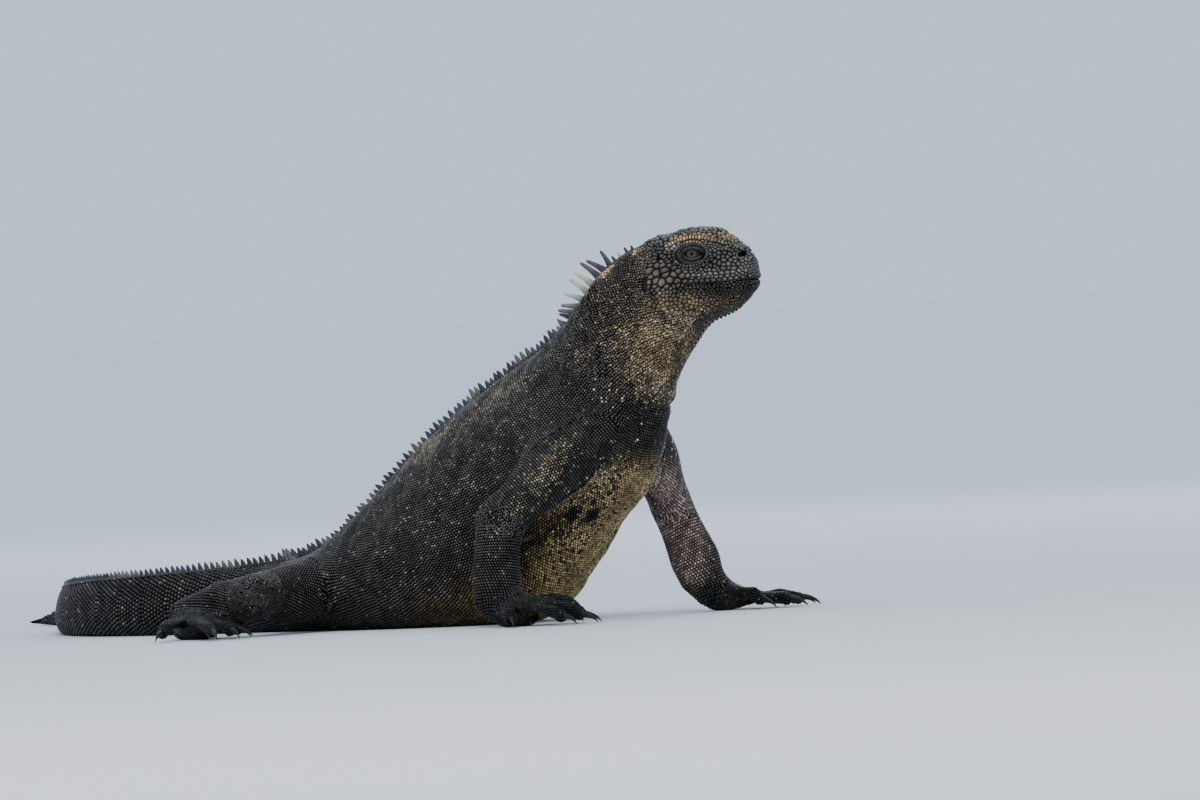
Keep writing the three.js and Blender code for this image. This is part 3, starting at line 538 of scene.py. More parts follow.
def toe_parts(limb, count):
    """Of each toe, the places and radii along it, arched over its knuckles, and three points of its claw.

    The radius tapers evenly, is rounded at both ends as a circle is, and swells at the joints and pads by
    sines of the distance along it.
    """
    kind = KINDS[limb["kind"]]
    facing = np.radians(limb["heading"])
    ahead = np.array([np.cos(facing), np.sin(facing), 0])
    across = np.array([np.sin(facing), -np.cos(facing), 0]) * -limb["side"]
    palm_end = np.array(limb["joints"][2], float) + ahead * kind["palm"][0] * 0.8
    for (length, fan, aside, behind), arch in zip(kind["toes"], limb["arches"]):
        base = palm_end + across * aside - ahead * behind
        turn = facing - limb["side"] * np.radians(fan)
        way = np.array([np.cos(turn), np.sin(turn), 0]) * length
        heights = TOE_REST + (KNUCKLES - TOE_REST) * arch
        t = dense_at_ends(count)
        line = catmull(lifted(base, way, [-0.4, 0.1, 0.45, 0.8, 1], [6, *heights, 3.1]), t * 4)
        ends = np.clip(np.minimum(t, 1 - t) / 0.14, 0, 1)
        joints = 1 + 0.07 * np.cos(2 * np.pi * (t * 3.2 - 0.1)) + 0.03 * np.cos(2 * np.pi * 8 * t)
        radius = kind["toe"] * (1.12 - 0.28 * t) * np.sqrt(1 - (1 - ends) ** 2) * joints - 0.25 * ends
        ahead_of_toe = [0.88, 1 + 0.62 * CLAW_LENGTH / length, 1 + CLAW_LENGTH / length]
        yield line, np.maximum(radius, 0), lifted(base, way, ahead_of_toe, [4.6, 5, 0.4])


def palm_rows(limb):
    """An ellipsoid of the palm's half length, half width and half height, turned to the foot's heading."""
    long, half, high = KINDS[limb["kind"]]["palm"]
    facing = np.radians(limb["heading"])
    t = np.linspace(0, np.pi, 24)[:, None]
    turn = full_turn(36)[None]
    x = -np.cos(t) * long * 0.72 + long * 0.42
    y = np.sin(t) * np.cos(turn) * (half - LIMB_INSET)
    z = np.sin(t) * np.sin(turn) * (high - LIMB_INSET) + high * 0.78
    wrist = limb["joints"][2]
    return np.stack([
        wrist[0] + x * np.cos(facing) - y * np.sin(facing),
        wrist[1] + x * np.sin(facing) + y * np.cos(facing),
        z,
    ], -1)


def limb_tubes(limb):
    """The closed tubes of one limb: upper and lower segment, palm and five toes."""
    kind = KINDS[limb["kind"]]
    root, joint, end = limb["joints"]
    for a, b, radii in ((root, joint, kind["upper"]), (joint, end, kind["lower"])):
        yield tube(swept(*segment_line(a, b, radii, 46), 44, up=LIMB_UP))
    yield tube(palm_rows(limb))
    for line, radius, _ in toe_parts(limb, TOE_ROWS):
        yield tube(swept(line, radius, 20))


def united(base, others):
    """One closed surface of a piece and all those that overlap it, which are then gone."""
    group = bpy.data.collections.new("overlapping")
    for piece in others:
        group.objects.link(piece)
    union = base.modifiers.new("union", "BOOLEAN")
    union.operand_type = "COLLECTION"
    union.collection = group
    union.operation = "UNION"
    union.solver = "MANIFOLD"
    mesh = bpy.data.meshes.new_from_object(base.evaluated_get(bpy.context.evaluated_depsgraph_get()))
    vertices = (rows_of(mesh.vertices, "co") - SHIFT) / MM
    faces = triangles_of(mesh)
    for piece in [base, *others]:
        bpy.data.objects.remove(piece)
    bpy.data.collections.remove(group)
    return vertices, faces


def place_keys(places):
    """A whole number for each place as a mesh keeps it, in single precision: equal for equal places."""
    kept = (places * MM + SHIFT).astype(np.float32) + np.float32(0)
    return kept.view(np.int32).astype(np.int64) @ np.array([1, 1_000_003, 1_000_003**2])


def eased(vertices, faces, before, reach=13, rounds=100):
    """The joins of a union rounded off: each vertex near one moves towards the mean of its neighbours.

    Vertices that were in none of the shapes before the union lie on the joins. The share of the way falls
    from one there by a fixed part with each step over an edge, and by twice as much on the feet.
    """
    loss = (1 + smooth(vertices[:, 2], 40, 20)) / reach
    weight = np.where(np.isin(place_keys(vertices), place_keys(before)), 0.0, 1.0)
    pairs = np.vstack([faces[:, [0, 1]], faces[:, [1, 2]], faces[:, [2, 0]]])
    edges = np.unique(np.sort(pairs, axis=1), axis=0)
    a, b = edges[:, 0], edges[:, 1]
    for _ in range(reach):
        spread = weight.copy()
        np.maximum.at(spread, a, weight[b] - loss[b])
        np.maximum.at(spread, b, weight[a] - loss[a])
        weight = spread
    degree = np.bincount(edges.ravel(), minlength=len(vertices))[:, None]
    for _ in range(rounds):
        total = np.stack([
            np.bincount(a, vertices[b, k], len(vertices)) + np.bincount(b, vertices[a, k], len(vertices))
            for k in range(3)
        ], -1)
        vertices = vertices + 0.6 * weight[:, None] * (total / degree - vertices)
    vertices[:, 2] = np.maximum(vertices[:, 2], LOWEST)
    return vertices


limb_shapes = [shape for limb in LIMBS for shape in limb_tubes(limb)]
body_shape = body_skin()
raw = [mesh_object("raw", *shape) for shape in [body_shape, *limb_shapes]]
skin_vertices, skin_faces = united(raw[0], raw[1:])
skin_vertices = eased(skin_vertices, skin_faces, np.vstack([v for v, _ in [body_shape, *limb_shapes]]))


# Colours: one function turns sRGB hex values to linear ones, and another adds a node.
def colour(hex_value):
    """Linear values of an sRGB hex value."""
    srgb = np.array([int(hex_value[i:i + 2], 16) for i in (1, 3, 5)]) / 255
    return np.where(srgb <= 0.04045, srgb / 12.92, ((srgb + 0.055) / 1.055) ** 2.4)


CHARCOAL = colour("#242220")
# Colour that the tops are paled towards: partly dust, partly a painted highlight.
PALE_TIP = colour("#8f8b85")

# Markings on both sides: centre, the way that they run, how far they spread along and across it, colour, the
# share of the scales that take it fully and how strongly all the others are tinged.
PATCHES = [
    ((25, 12, 129), (0.2, 0, 1), 20, 15, "#877452", 0.45, 0.8),  # throat
    ((34, 12, 141), (1, 0, 0.2), 18, 9, "#7d7058", 0.40, 0.4),  # under the jowl
    ((2, 18, 142), (0.3, 0, 1), 34, 18, "#655843", 0.26, 0.15),  # side of the neck
    ((20, 10, 110), (0.3, 0, 1), 11, 14, "#8f7e64", 0.42, 0.18),  # pale flecks at the foot of the throat
    ((15, 10, 92), (0, 1, 0.2), 20, 14, "#17110a", 0.60, 0.9),  # dark fold and chest under them
    ((5, 25, 107), (1, 0, 0), 6, 5, "#8f8776", 0.30, 0.05),
    ((-4, 7, 167), (1, 0, 0.3), 5, 3.5, "#95804c", 0.80, 0.7),  # yellowish crust on the nape
    ((-1, 8, 165), (1, 0, 0.3), 4, 3.0, "#b9b080", 0.35, 0.0),
    ((14, 8, 176), (1, 0, 0.2), 3.5, 2.5, "#b3a878", 0.80, 0.6),
    ((-56, 26, 108), (1, 0, 0.66), 22, 7, "#77705f", 0.35, 0.45),  # under the crest
    ((-96, 24, 87), (1, 0, 0.66), 20, 8, "#7d7565", 0.40, 0.45),
    ((-72, 30, 92), (1, 0, 0.66), 70, 28, "#433f3b", 0.0, 0.6),  # dusty upper back
    ((-70, 40, 80), (0.6, 0, 1), 60, 26, "#57524a", 0.12, 0.0),  # specks on the flank
    ((-2, 22, 72), (0.3, 0.2, 1), 12, 12, "#9c917b", 0.22, 0.0),  # flecks by the armpit
    ((-10, 20, 64), (1, 0, 0.5), 14, 10, "#8d7c5d", 0.45, 0.35),
    ((-22, 20, 50), (1, 0, 1), 44, 16, "#171009", 0.32, 0.0),  # dark and pale flecks of the belly
    ((-22, 20, 50), (1, 0, 1), 40, 15, "#978a6c", 0.14, 0.0),
    ((-18.6, 25.9, 52.1), (1, 0, 1), 4.0, 2.6, "#070504", 1.0, 4.0),  # two dark marks on the belly
    ((-12.6, 18.5, 50.3), (1, 0, 1), 4.6, 2.8, "#070504", 1.0, 4.0),
]
# Markings of one limb alone, as placed.
LIMB_PATCHES = [
    ((-18, -54, 72), (0.55, 0.4, 1), 24, 8, "#625f42", 0.42, 0.2),  # yellow, orange and white on the arm
    ((-15, -52, 76), (0.55, 0.4, 1), 17, 6, "#68543a", 0.30, 0.0),
    ((-22, -57, 66), (0.55, 0.4, 1), 28, 9, "#706c5f", 0.25, 0.04),
    ((-43, -60, 28), (0, 0, 1), 30, 18, "#1b1a19", 0.0, 0.6),  # dark forearm
    ((-10, 44, 52), (0.1, 0.5, -1), 30, 17, "#8d7a70", 0.45, 1.1),  # inner side of the far arm
    ((-6, 58, 22), (0, 0, 1), 22, 10, "#85756a", 0.45, 0.9),
]


def patch_share(place, centre, way, long, wide):
    """A soft-edged spindle: e to the power of less the 1.4th power of the sum of two squares.

    They are of the distances along and across its way, each over its own spread.
    """
    offset = place - np.array(centre, float)
    along = offset @ unit(np.array(way, float))
    across = (offset**2).sum(axis=1) - along**2
    return np.exp(-((along / long) ** 2 + across / wide**2) ** 1.4)


def blended(tint, toward, amount):
    """Each row of tint moved towards a colour by its own amount."""
    return tint + (toward - tint) * np.clip(amount, 0, 1)[:, None]


def with_patches(tint, place, draw, patches, clump):
    """Lays patches on: a scale whose own draw is under the share takes the colour, and others a tinge."""
    for centre, way, long, wide, hex_value, share, tinge in patches:
        amount = patch_share(place, centre, way, long, wide) * (0.4 + 0.8 * clump)
        taken = (draw < share * amount) & (draw >= 0)
        tint = blended(tint, colour(hex_value), np.where(taken, 1.0, tinge * amount))
        draw = np.where(draw < 0, draw, (draw * 7.31 + 0.137) % 1)
    return tint


CREST_PLACES = body_point(np.linspace(9.5, 20, 24), 0.0)


def on_trunk(place):
    """How far places belong to the low front of the trunk, and not to an arm."""
    share = smooth(place[:, 2], 84, 64) * smooth(place[:, 0], -120, -80)
    for limb in LIMBS[:2]:
        share = share * smooth(from_line(place, np.array(limb["joints"], float)), 13.5, 18)
    return share


def markings(place, out, draw):
    """Colour of the hide at each place. draw is a scale's own number from 0 to 1, which picks its speckle.

    The ground is charcoal. The belly, found by the way that it faces, goes from brown to olive tan. Patches
    lie on both, dust lies along the crest, the feet are black, and the head has its own colours.
    """
    clump = 0.5 + 0.5 * ripples(place, 14, 5)
    tint = np.repeat(CHARCOAL[None], len(place), axis=0)
    trunk = on_trunk(place)
    belly = smooth(out @ np.array([0.68, 0, -0.73]), 0.1, 0.6) * trunk
    middle = smooth(out @ np.array([0.78, 0, -0.62]), 0.55, 0.98) * trunk
    tint = blended(tint, colour("#46371c"), belly * (0.6 + 0.5 * clump))
    tint = blended(tint, colour("#8f7a50"), middle * (0.6 + 0.5 * clump))
    tint = with_patches(tint, to_left(place), draw, PATCHES, clump)
    tint = with_patches(tint, place, draw, LIMB_PATCHES, clump)
    dust = smooth(from_line(place, CREST_PLACES), 12, 4) * smooth(ripples(place, 20, 11), -0.1, 0.55)
    tint = blended(tint, colour("#6b6456"), dust * 0.7)
    foot = smooth(place[:, 2], 17, 10) * smooth(np.abs(place[:, 1]), 50, 58)
    tint = blended(tint, colour("#161616"), foot * 0.9)
    return head_markings(tint, place)


# Markings of the head: back, up, spreads, colour and strength.
HEAD_PATCHES = [
    (10, 19, 13, 5, "#5b5c55", 0.7),  # top of the snout
    (27, 28, 10, 3.6, "#747a78", 0.75),  # smooth plates of the crown
    (46, 25, 9, 5, "#5d6468", 0.7),  # back of the crown
    (13, 20.5, 4.5, 2.2, "#7b6a3f", 0.7),  # olive before the brow
    (28, 21.8, 11, 2.1, "#9c8063", 0.95),  # brow
    (39, 18.5, 4, 2.2, "#96807a", 0.7),  # behind it
    (29, 14.3, 8.4, 6.4, "#232120", 0.9),  # round the lids
    (11.5, 9.5, 3.4, 2.6, "#5a534e", 0.8),  # swelling before the eye
    (16, 3.2, 13, 3.2, "#544d4b", 0.85),  # upper lip
    (18, -3.2, 16, 3.0, "#1f1a12", 0.9),  # lower lip
    (45, 5.5, 7.5, 6, "#4e463d", 0.85),  # temple
    (33, 5, 6, 3, "#4c4837", 0.7),  # cheek
    (14, -11, 12, 4, "#40341f", 0.8),  # under the jaw
    (38, -9, 13, 5, "#6d5c43", 0.75),  # jowl
    (54, 13, 6, 10, "#554a3e", 0.7),  # behind the temple
    (58, 3, 5, 16, "#3b342b", 0.6),  # fold behind the ear
    (4, 8, 5, 8, "#595855", 0.6),  # tip of the snout
    # black in the nostril: painted shade in its hollow
    (NOSTRIL["back"], NOSTRIL["up"], 1.3, 1.3, "#050505", 1.0),
    (EAR["back"], EAR["up"], 1.9, 3.0, "#3d3a37", 0.9),  # drum of the ear
]
HEAD_AHEAD = np.array([np.cos(HEAD_TURN), np.sin(HEAD_TURN), 0])
MOUTH_FRONT = head_place(0.0, 0.0, 0.0)


def head_coordinates(place):
    """Distance back from the front of the mouth and up from its line, of any place near the head."""
    offset = place - MOUTH_FRONT
    ahead, up = offset @ HEAD_AHEAD, offset[:, 2]
    tip = MUZZLE_TIP
    return -ahead * np.cos(tip) - up * np.sin(tip), up * np.cos(tip) - ahead * np.sin(tip)


def head_markings(tint, place):
    """The head's colours laid over tint, each a soft ellipse that all its scales share."""
    back, up = head_coordinates(place)
    near = smooth(back, 64, 55) * smooth(place[:, 2], 128, 138)
    for b, u, long, high, hex_value, strength in HEAD_PATCHES:
        amount = np.exp(-(((back - b) / long) ** 2 + ((up - u) / high) ** 2) ** 1.5)
        tint = blended(tint, colour(hex_value), amount * strength * near)
    return tint


def with_node(tree, kind, settings=None, links=None, **properties):
    """Adds a node: properties set on it, settings on its sockets by name or number, and links into them."""
    node = tree.nodes.new("ShaderNode" + kind)
    for key, value in properties.items():
        setattr(node, key, value)
    for key, value in (settings or {}).items():
        node.inputs[key].default_value = value
    for key, output in (links or {}).items():
        tree.links.new(output, node.inputs[key])
    return node


def new_material(name):
    """A bare node material, its tree, and the link that lays a pattern on Object coordinates."""
    material = bpy.data.materials.new(name)
    material.use_nodes = True
    tree = material.node_tree
    tree.nodes.clear()
    return material, tree, {"Vector": with_node(tree, "TexCoord").outputs["Object"]}


DUST_MM = 9  # size of the dusty and the clean stretches of hide


def hide_material(name, roughness, grain_mm, bump_mm, depth=(0.03, 2.4), worn=0.6, shine=0.42):
    """Keratin, grown over living skin: dry and faintly waxy, with painted shade nearly black in the creases
    and painted light on the tops, which are paled partly by dust and partly as a painted highlight.

    tint is each scale's own colour, and tip goes from 0 at its rim to 1 at its top. Slow noise makes dusty
    and clean stretches. Real grain is too fine to show, so it is drawn as coarse as grain_mm. Creases hold no
    shine. depth is how dark the painted shade makes the creases and how light the painted light makes the
    tops, and worn is how pale the dusty tops get, as dust and as a painted highlight.
    """
    material, tree, where = new_material(name)
    tint = with_node(tree, "Attribute", attribute_name="tint").outputs["Color"]
    tip = with_node(tree, "Attribute", attribute_name="tip").outputs["Fac"]
    slow = {"Scale": 1 / (DUST_MM * MM), "Detail": 5.0, "Roughness": 0.6}
    dust = {"Value": with_node(tree, "TexNoise", slow, where).outputs["Fac"]}
    fine = {"Scale": 1 / (grain_mm * MM), "Detail": 3.0}
    grain = with_node(tree, "TexNoise", fine, where).outputs["Fac"]
    lightness = {"From Min": 0.3, "From Max": 0.72, "To Min": 0.6, "To Max": 1.35}
    shade = with_node(tree, "MapRange", lightness, dust).outputs["Result"]
    # Painted shade and light: the colour is darkened towards each dome's rim, in the creases, and lightened
    # at its top.
    painted_shade_range = {"To Min": depth[0], "To Max": depth[1]}
    crease = with_node(tree, "MapRange", painted_shade_range, {"Value": tip}).outputs["Result"]
    dust_tone_and_painted_shade = with_node(tree, "Math", None, {0: shade, 1: crease}, operation="MULTIPLY")
    scaled = {0: tint, "Scale": dust_tone_and_painted_shade.outputs[0]}
    toned = with_node(tree, "VectorMath", None, scaled, operation="SCALE").outputs["Vector"]
    # The tops in dusty stretches are paled, partly by dust and partly as a painted highlight.
    top = with_node(tree, "Math", {1: 4.0}, {0: tip}, operation="POWER").outputs[0]
    dust_and_painted_highlight_range = {"From Min": 0.4, "From Max": 0.7, "To Max": worn}
    dusty = with_node(tree, "MapRange", dust_and_painted_highlight_range, dust).outputs["Result"]
    dust_and_painted_highlight_share = with_node(tree, "Math", None, {0: top, 1: dusty}, operation="MULTIPLY").outputs[0]
    pale = {"B": (*PALE_TIP, 1)}
    paled_by_dust_and_painted_highlight = with_node(tree, "Mix", pale, {"Factor": dust_and_painted_highlight_share, "A": toned}, data_type="RGBA")
    around = {"To Min": roughness - 0.12, "To Max": roughness + 0.12}
    rough = with_node(tree, "MapRange", around, {"Value": grain}).outputs["Result"]
    bump = with_node(tree, "Bump", {"Strength": 0.5, "Distance": bump_mm * MM}, {"Height": grain})
    gleam = with_node(tree, "MapRange", {"To Min": 0.01, "To Max": shine}, {"Value": tip})
    surface = with_node(tree, "BsdfPrincipled", {"IOR": 1.5}, {
        "Base Color": paled_by_dust_and_painted_highlight.outputs["Result"], "Roughness": rough,
        "Specular IOR Level": gleam.outputs["Result"], "Normal": bump.outputs["Normal"],
    })
    with_node(tree, "OutputMaterial", None, {"Surface": surface.outputs["BSDF"]})
    return material


def paint_on(piece, tint, tip):
    """Keeps the colour and the height over the skin of each vertex in the attributes tint and tip."""
    rgba = np.ones((len(tint), 4), np.float32)
    rgba[:, :3] = tint
    piece.data.attributes.new("tint", "FLOAT_COLOR", "POINT").data.foreach_set("color", rgba.ravel())
    piece.data.attributes.new("tip", "FLOAT", "POINT").data.foreach_set("value", tip.astype(np.float32))


def unwrap_on(piece, uv):
    """Keeps the place of each corner of the triangles on the map that the bake reads."""
    piece.data.uv_layers.new(name="OFBake").data.foreach_set("uv", uv.ravel().astype(np.float32))


def normals_of(piece):
    """The way out of a mesh at each vertex."""
    return rows_of(piece.data.vertex_normals, "vector", np.float32)


flesh = ["head", "neck", "torso", "tail_base", "tail_middle", "tail_rear", "tail_tip"]
SIDE_NAMES = {-1: "right", 1: "left"}
for limb in LIMBS:
    flesh += [f"{name}_{SIDE_NAMES[limb['side']]}" for name in KINDS[limb["kind"]]["names"]]
# Soft dry skin lies between the scales, its colour darkened as painted shade. Scales gleam faintly on their
# pale tops, paled by dust and a painted highlight, the plates of the head are drier and more even, and the
# feet are worn to a satin shine.
skin_material = hide_material(
    "lizard hide, dry skin between the scales", 0.75, 0.5, 0.12, depth=(0.0, 1.0), worn=0.0, shine=0.12
)
scale_material = hide_material("keratin scales, worn matte", 0.45, 0.35, 0.05)
plate_material = hide_material(
    "keratin plates of the head, dry", 0.5, 0.5, 0.08, depth=(0.1, 1.6), worn=0.3, shine=0.3
)
foot_material = hide_material(
    "keratin scales of the feet, satin", 0.4, 0.35, 0.05, depth=(0.1, 1.5), worn=0.1, shine=0.35
)
skin = mesh_object("skin", skin_vertices, skin_faces, skin_material)
skin_tint = markings(skin_vertices, normals_of(skin), np.full(len(skin_vertices), -1.0))
skin_back, skin_up = head_coordinates(skin_vertices)
# A tip of 0.2 darkens the skin's colour to a fifth, painted shade between the scales, and less on the drums
# of the ears.
drum = 0.4 * smooth(from_oval(skin_back, skin_up, EAR, 2.3, 3.4), 1.05, 0.75) * (skin_vertices[:, 2] > 140)
paint_on(skin, skin_tint, 0.2 + 0.6 * drum)
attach(skin, "root")
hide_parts(*flesh)


# Scales. Roots are places with the direction towards the tail, and their own place on the unwrapped hide.
def scale_rows(spacing):
    """Values of q of rows the spacing apart, with rows over the round cap of the snout before them."""
    cap = -np.sqrt(1 - np.linspace(0.12, 0.94, 8) ** 2)
    return np.concatenate([cap, rows_apart(spacing)])


LOOSE = ([6, 10.5, 12.5], [0.7, 0.65, 0.15])  # how unevenly the scales lie, by q: granules of the neck most


def places_down(q_rows, pitch):
    """Of places down the left side in each row: q, turn, length round from the crest, and step.

    Every other row starts on the crest, and the rest half a step beside it, so that both sides meet evenly.
    Places are found by inverting the length summed round each section.
    """
    turn = np.linspace(0, np.pi, 161)
    sections = body_point(q_rows[:, None], turn[None])
    lengths = np.linalg.norm(np.diff(sections, axis=1), axis=2).cumsum(axis=1)
    lengths = np.hstack([np.zeros((len(q_rows), 1)), lengths])
    found = []
    for i, q in enumerate(q_rows):
        count = max(2, round(lengths[i, -1] / np.interp(q, *pitch)))
        step = lengths[i, -1] / count
        s = (np.arange(count + i % 2) + 0.5 - 0.5 * (i % 2)) * step
        s = np.abs(s + 0.5 * step * np.interp(q, *LOOSE) * (random.random(len(s)) - 0.5))
        turns = np.interp(s, lengths[i], turn)
        found.append(np.stack([np.full(len(s), q), turns, s, np.full(len(s), step)], -1))
    return np.vstack(found).T


def towards_tail(q, turn, step):
    """The way back along the body's surface at each place, from a small step of q to both sides."""
    return unit(body_point(q + step, turn) - body_point(np.maximum(q - step, -1), turn))


def body_roots(spacing, pitch, high_q=28.6):
    """Rows across the body, spacing apart, with places about pitch apart down both sides from the crest.

    The unwrap is the length along the body against the length round from the crest.
    """
    q_rows = scale_rows(spacing)
    q, turns, s, step = places_down(q_rows[q_rows < high_q], pitch)
    q, step = np.tile(q, 2), np.tile(step, 2)
    turns, s = np.concatenate([turns, -turns]), np.concatenate([s, -s])
    place = body_point(q, turns)
    back = towards_tail(q, turns, 0.03)
    loose = np.interp(q, *LOOSE)
    place = place + back * (0.45 * loose * step * (random.random(len(q)) - 0.5))[:, None]
    size = step * (1 + 0.1 * loose + 0.35 * loose * (random.random(len(q)) - 0.5))
    flat = np.stack([np.interp(q, fine_q, BODY_LENGTH), s], -1)
    return {"place": place, "back": back, "size": size, "flat": flat, "q": q}


def tube_roots(line, radius, pitch, up=(0, 0, 1), start=0.0, apart=0.9):
    """Rings round a line, a share of a pitch apart, with places a pitch apart round from its upper side."""
    lengths = length_along(line)
    at = np.arange(0.5 * pitch, lengths[-1], apart * pitch)
    centre = np.stack([np.interp(at, lengths, line[:, k]) for k in range(3)], -1)
    tangent, side, above = axes_along(centre, up)
    r = np.interp(at, lengths, radius)
    most = int(np.pi * radius.max() / pitch) + 2
    s = (np.arange(-most, most)[None] + 0.25 + 0.5 * (np.arange(len(at)) % 2)[:, None]) * pitch
    turn = s / np.maximum(r, 0.3)[:, None]
    kept = np.abs(turn) < np.pi - 0.25 * pitch / np.maximum(r, 0.3)[:, None]
    around = side[:, None] * np.sin(turn)[..., None] + above[:, None] * np.cos(turn)[..., None]
    place = centre[:, None] + r[:, None, None] * around
    back = np.broadcast_to(tangent[:, None], place.shape)
    flat = np.stack([np.broadcast_to((at + start)[:, None], s.shape), s], -1)
    return {"place": place[kept], "back": back[kept], "size": np.full(kept.sum(), pitch), "flat": flat[kept]}


BALL_UNWRAP = 300.0  # where balls start on the unwrapped hide, beyond the limb's own rings


def ball_roots(centre, radius, pitch, back):
    """Places about a pitch apart on a ball, on a spiral from its top that turns by the golden angle."""
    count = int(4 * np.pi * radius**2 / (0.87 * pitch**2))
    high = 1 - 2 * (np.arange(count) + 0.5) / count
    turn = np.pi * (1 + 5**0.5) * np.arange(count)
    wide = np.sqrt(1 - high**2)
    out = np.stack([wide * np.cos(turn), wide * np.sin(turn), high], -1)
    flat = np.stack([BALL_UNWRAP + radius * (turn % (2 * np.pi)), radius * high], -1)
    back = np.broadcast_to(unit(np.asarray(back, float)), out.shape)
    return {"place": centre + radius * out, "back": back, "size": np.full(count, pitch), "flat": flat}


def bent_line(root, joint, end, kind):
    """Both segments of a limb as one line with its radii, rounded at the joint by averaging neighbours."""
    count = 60
    halves = segment_line(root, joint, kind["upper"], count), segment_line(joint, end, kind["lower"], count)
    rows = np.vstack([np.column_stack(half) for half in halves])
    rows = np.delete(rows, count, axis=0)
    for _ in range(50):
        rows[1:-1] = (rows[:-2] + rows[1:-1] + rows[2:]) / 3
    return rows[:, :3], rows[:, 3]


def picked(roots, kept):
    """The roots at the kept places."""
    return {key: value[kept] for key, value in roots.items()}


def together(*several):
    """Several sets of roots as one."""
    keys = set.intersection(*(set(roots) for roots in several))
    return {key: np.concatenate([roots[key] for roots in several]) for key in sorted(keys)}


def snapped(place, lift):
    """The places that lie a lift above the skin, over its nearest place to each."""
    probe = bpy.data.objects.new("probe", bpy.data.meshes.new("probe"))
    bpy.context.scene.collection.objects.link(probe)
    probe.data.vertices.add(len(place))
    probe.data.vertices.foreach_set("co", (place * MM + SHIFT).ravel())
    wrap = probe.modifiers.new("wrap", "SHRINKWRAP")
    wrap.target = skin
    wrap.wrap_mode = "ABOVE_SURFACE"
    wrap.offset = lift * MM
    moved = places_of(probe.evaluated_get(bpy.context.evaluated_depsgraph_get()))
    bpy.data.objects.remove(probe)
    return moved


LOWEST_ROOT = 0.7  # none lie lower, where the hide rests on the floor
CLOSEST_ROOTS = 0.62  # one root stays in each cube of space this wide


CUBE_STEPS = np.array([1, 9_973, 9_973**2])  # from a cube's number to the next one's, along each axis


def cube_numbers(place, wide):
    """The number of the cube of space, so wide, that holds each place."""
    return np.round(place / wide).astype(np.int64) @ CUBE_STEPS


def clear_of(roots, others, gap=0.9):
    """Roots whose cube of space, a gap wide, holds none of the others, nor do the six cubes beside it."""
    taken = cube_numbers(others["place"], gap)
    own = cube_numbers(roots["place"], gap)
    beside = [0, *CUBE_STEPS, *-CUBE_STEPS]
    return picked(roots, ~np.any([np.isin(own + step, taken) for step in beside], axis=0))


def on_skin(roots, reach=2.6, closest=CLOSEST_ROOTS):
    """Roots moved to the skin's nearest place, with the way out of it, less those too far or too close."""
    place = snapped(roots["place"], 0.0)
    out = unit(snapped(roots["place"], 1.0) - place)
    near = np.linalg.norm(place - roots["place"], axis=1) < reach
    alone = np.zeros(len(place), bool)
    alone[np.unique(cube_numbers(place, closest), return_index=True)[1]] = True
    return picked(dict(roots, place=place, out=out), near & alone & (place[:, 2] > LOWEST_ROOT))


def tangent_axes(roots):
    """The ways across and back along the skin at each root."""
    across = unit(np.cross(roots["out"], roots["back"]))
    return across, np.cross(across, roots["out"])


def oval(long, wide, sides):
    """Outlines of ovals, the half length along and the half width across: cosine and sine of a full turn."""
    angle = full_turn(sides)
    return np.stack([long[:, None] * np.cos(angle), wide[:, None] * np.sin(angle)], -1)


def raised(roots, outline, high, profile, lean=0.0):
    """Small closed plates on the roots: vertices, triangles, places in the patch and heights.

    The profile's pairs give, from the rim up, the share of the outline and of the height of each ring of
    points. The tip stands at the full height, moved towards the tail by lean times the outline's mean reach.
    """
    across, back = tangent_axes(roots)
    count, sides, _ = outline.shape
    shares = np.array(profile)
    rings = (outline[:, None] * shares[None, :, None, :1]).reshape(count, -1, 2)
    flat = np.concatenate([rings, np.zeros((count, 1, 2))], axis=1)
    level = np.append(np.repeat(shares[:, 1], sides), 1.0)
    mean_reach = np.linalg.norm(outline, axis=2).mean(axis=1)
    slide = lean * mean_reach[:, None] * np.maximum(level, 0)
    vertices = (
        roots["place"][:, None]
        + back[:, None] * (flat[..., 0] + slide)[..., None]
        + across[:, None] * flat[..., 1][..., None]
        + roots["out"][:, None] * (level * high[:, None])[..., None]
    )
    local = flat / np.abs(flat).max(axis=(1, 2), keepdims=True)
    return vertices, dome_faces(sides, len(profile)), local, np.clip(level, 0, 1) ** 1.5


def dome_faces(sides, rings):
    """Triangles of one plate: bands between its rings, a fan to its tip and a fan that closes it below."""
    j = np.arange(sides)
    after = (j + 1) % sides
    faces = [np.stack([j, after, 0 * j + sides * rings], -1) + [(rings - 1) * sides, (rings - 1) * sides, 0]]
    for i in range(rings - 1):
        low, high = i * sides, (i + 1) * sides
        faces.append(np.stack([low + j, low + after, high + after], -1))
        faces.append(np.stack([low + j, high + after, high + j], -1))
    k = np.arange(1, sides - 1)
    faces.append(np.stack([0 * k, k + 1, k], -1))
    return np.vstack(faces)


UV_PATCH = 0.0015  # half the width of a scale's patch on the unwrapped hide
FLOOR_GAP = 0.03  # the lowest parts of scales lie flat at this height over the floor
FRONT = ((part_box("head")[1][0] - SHIFT[0]) / MM) - 0.02  # the snout's plates end level with the solid's


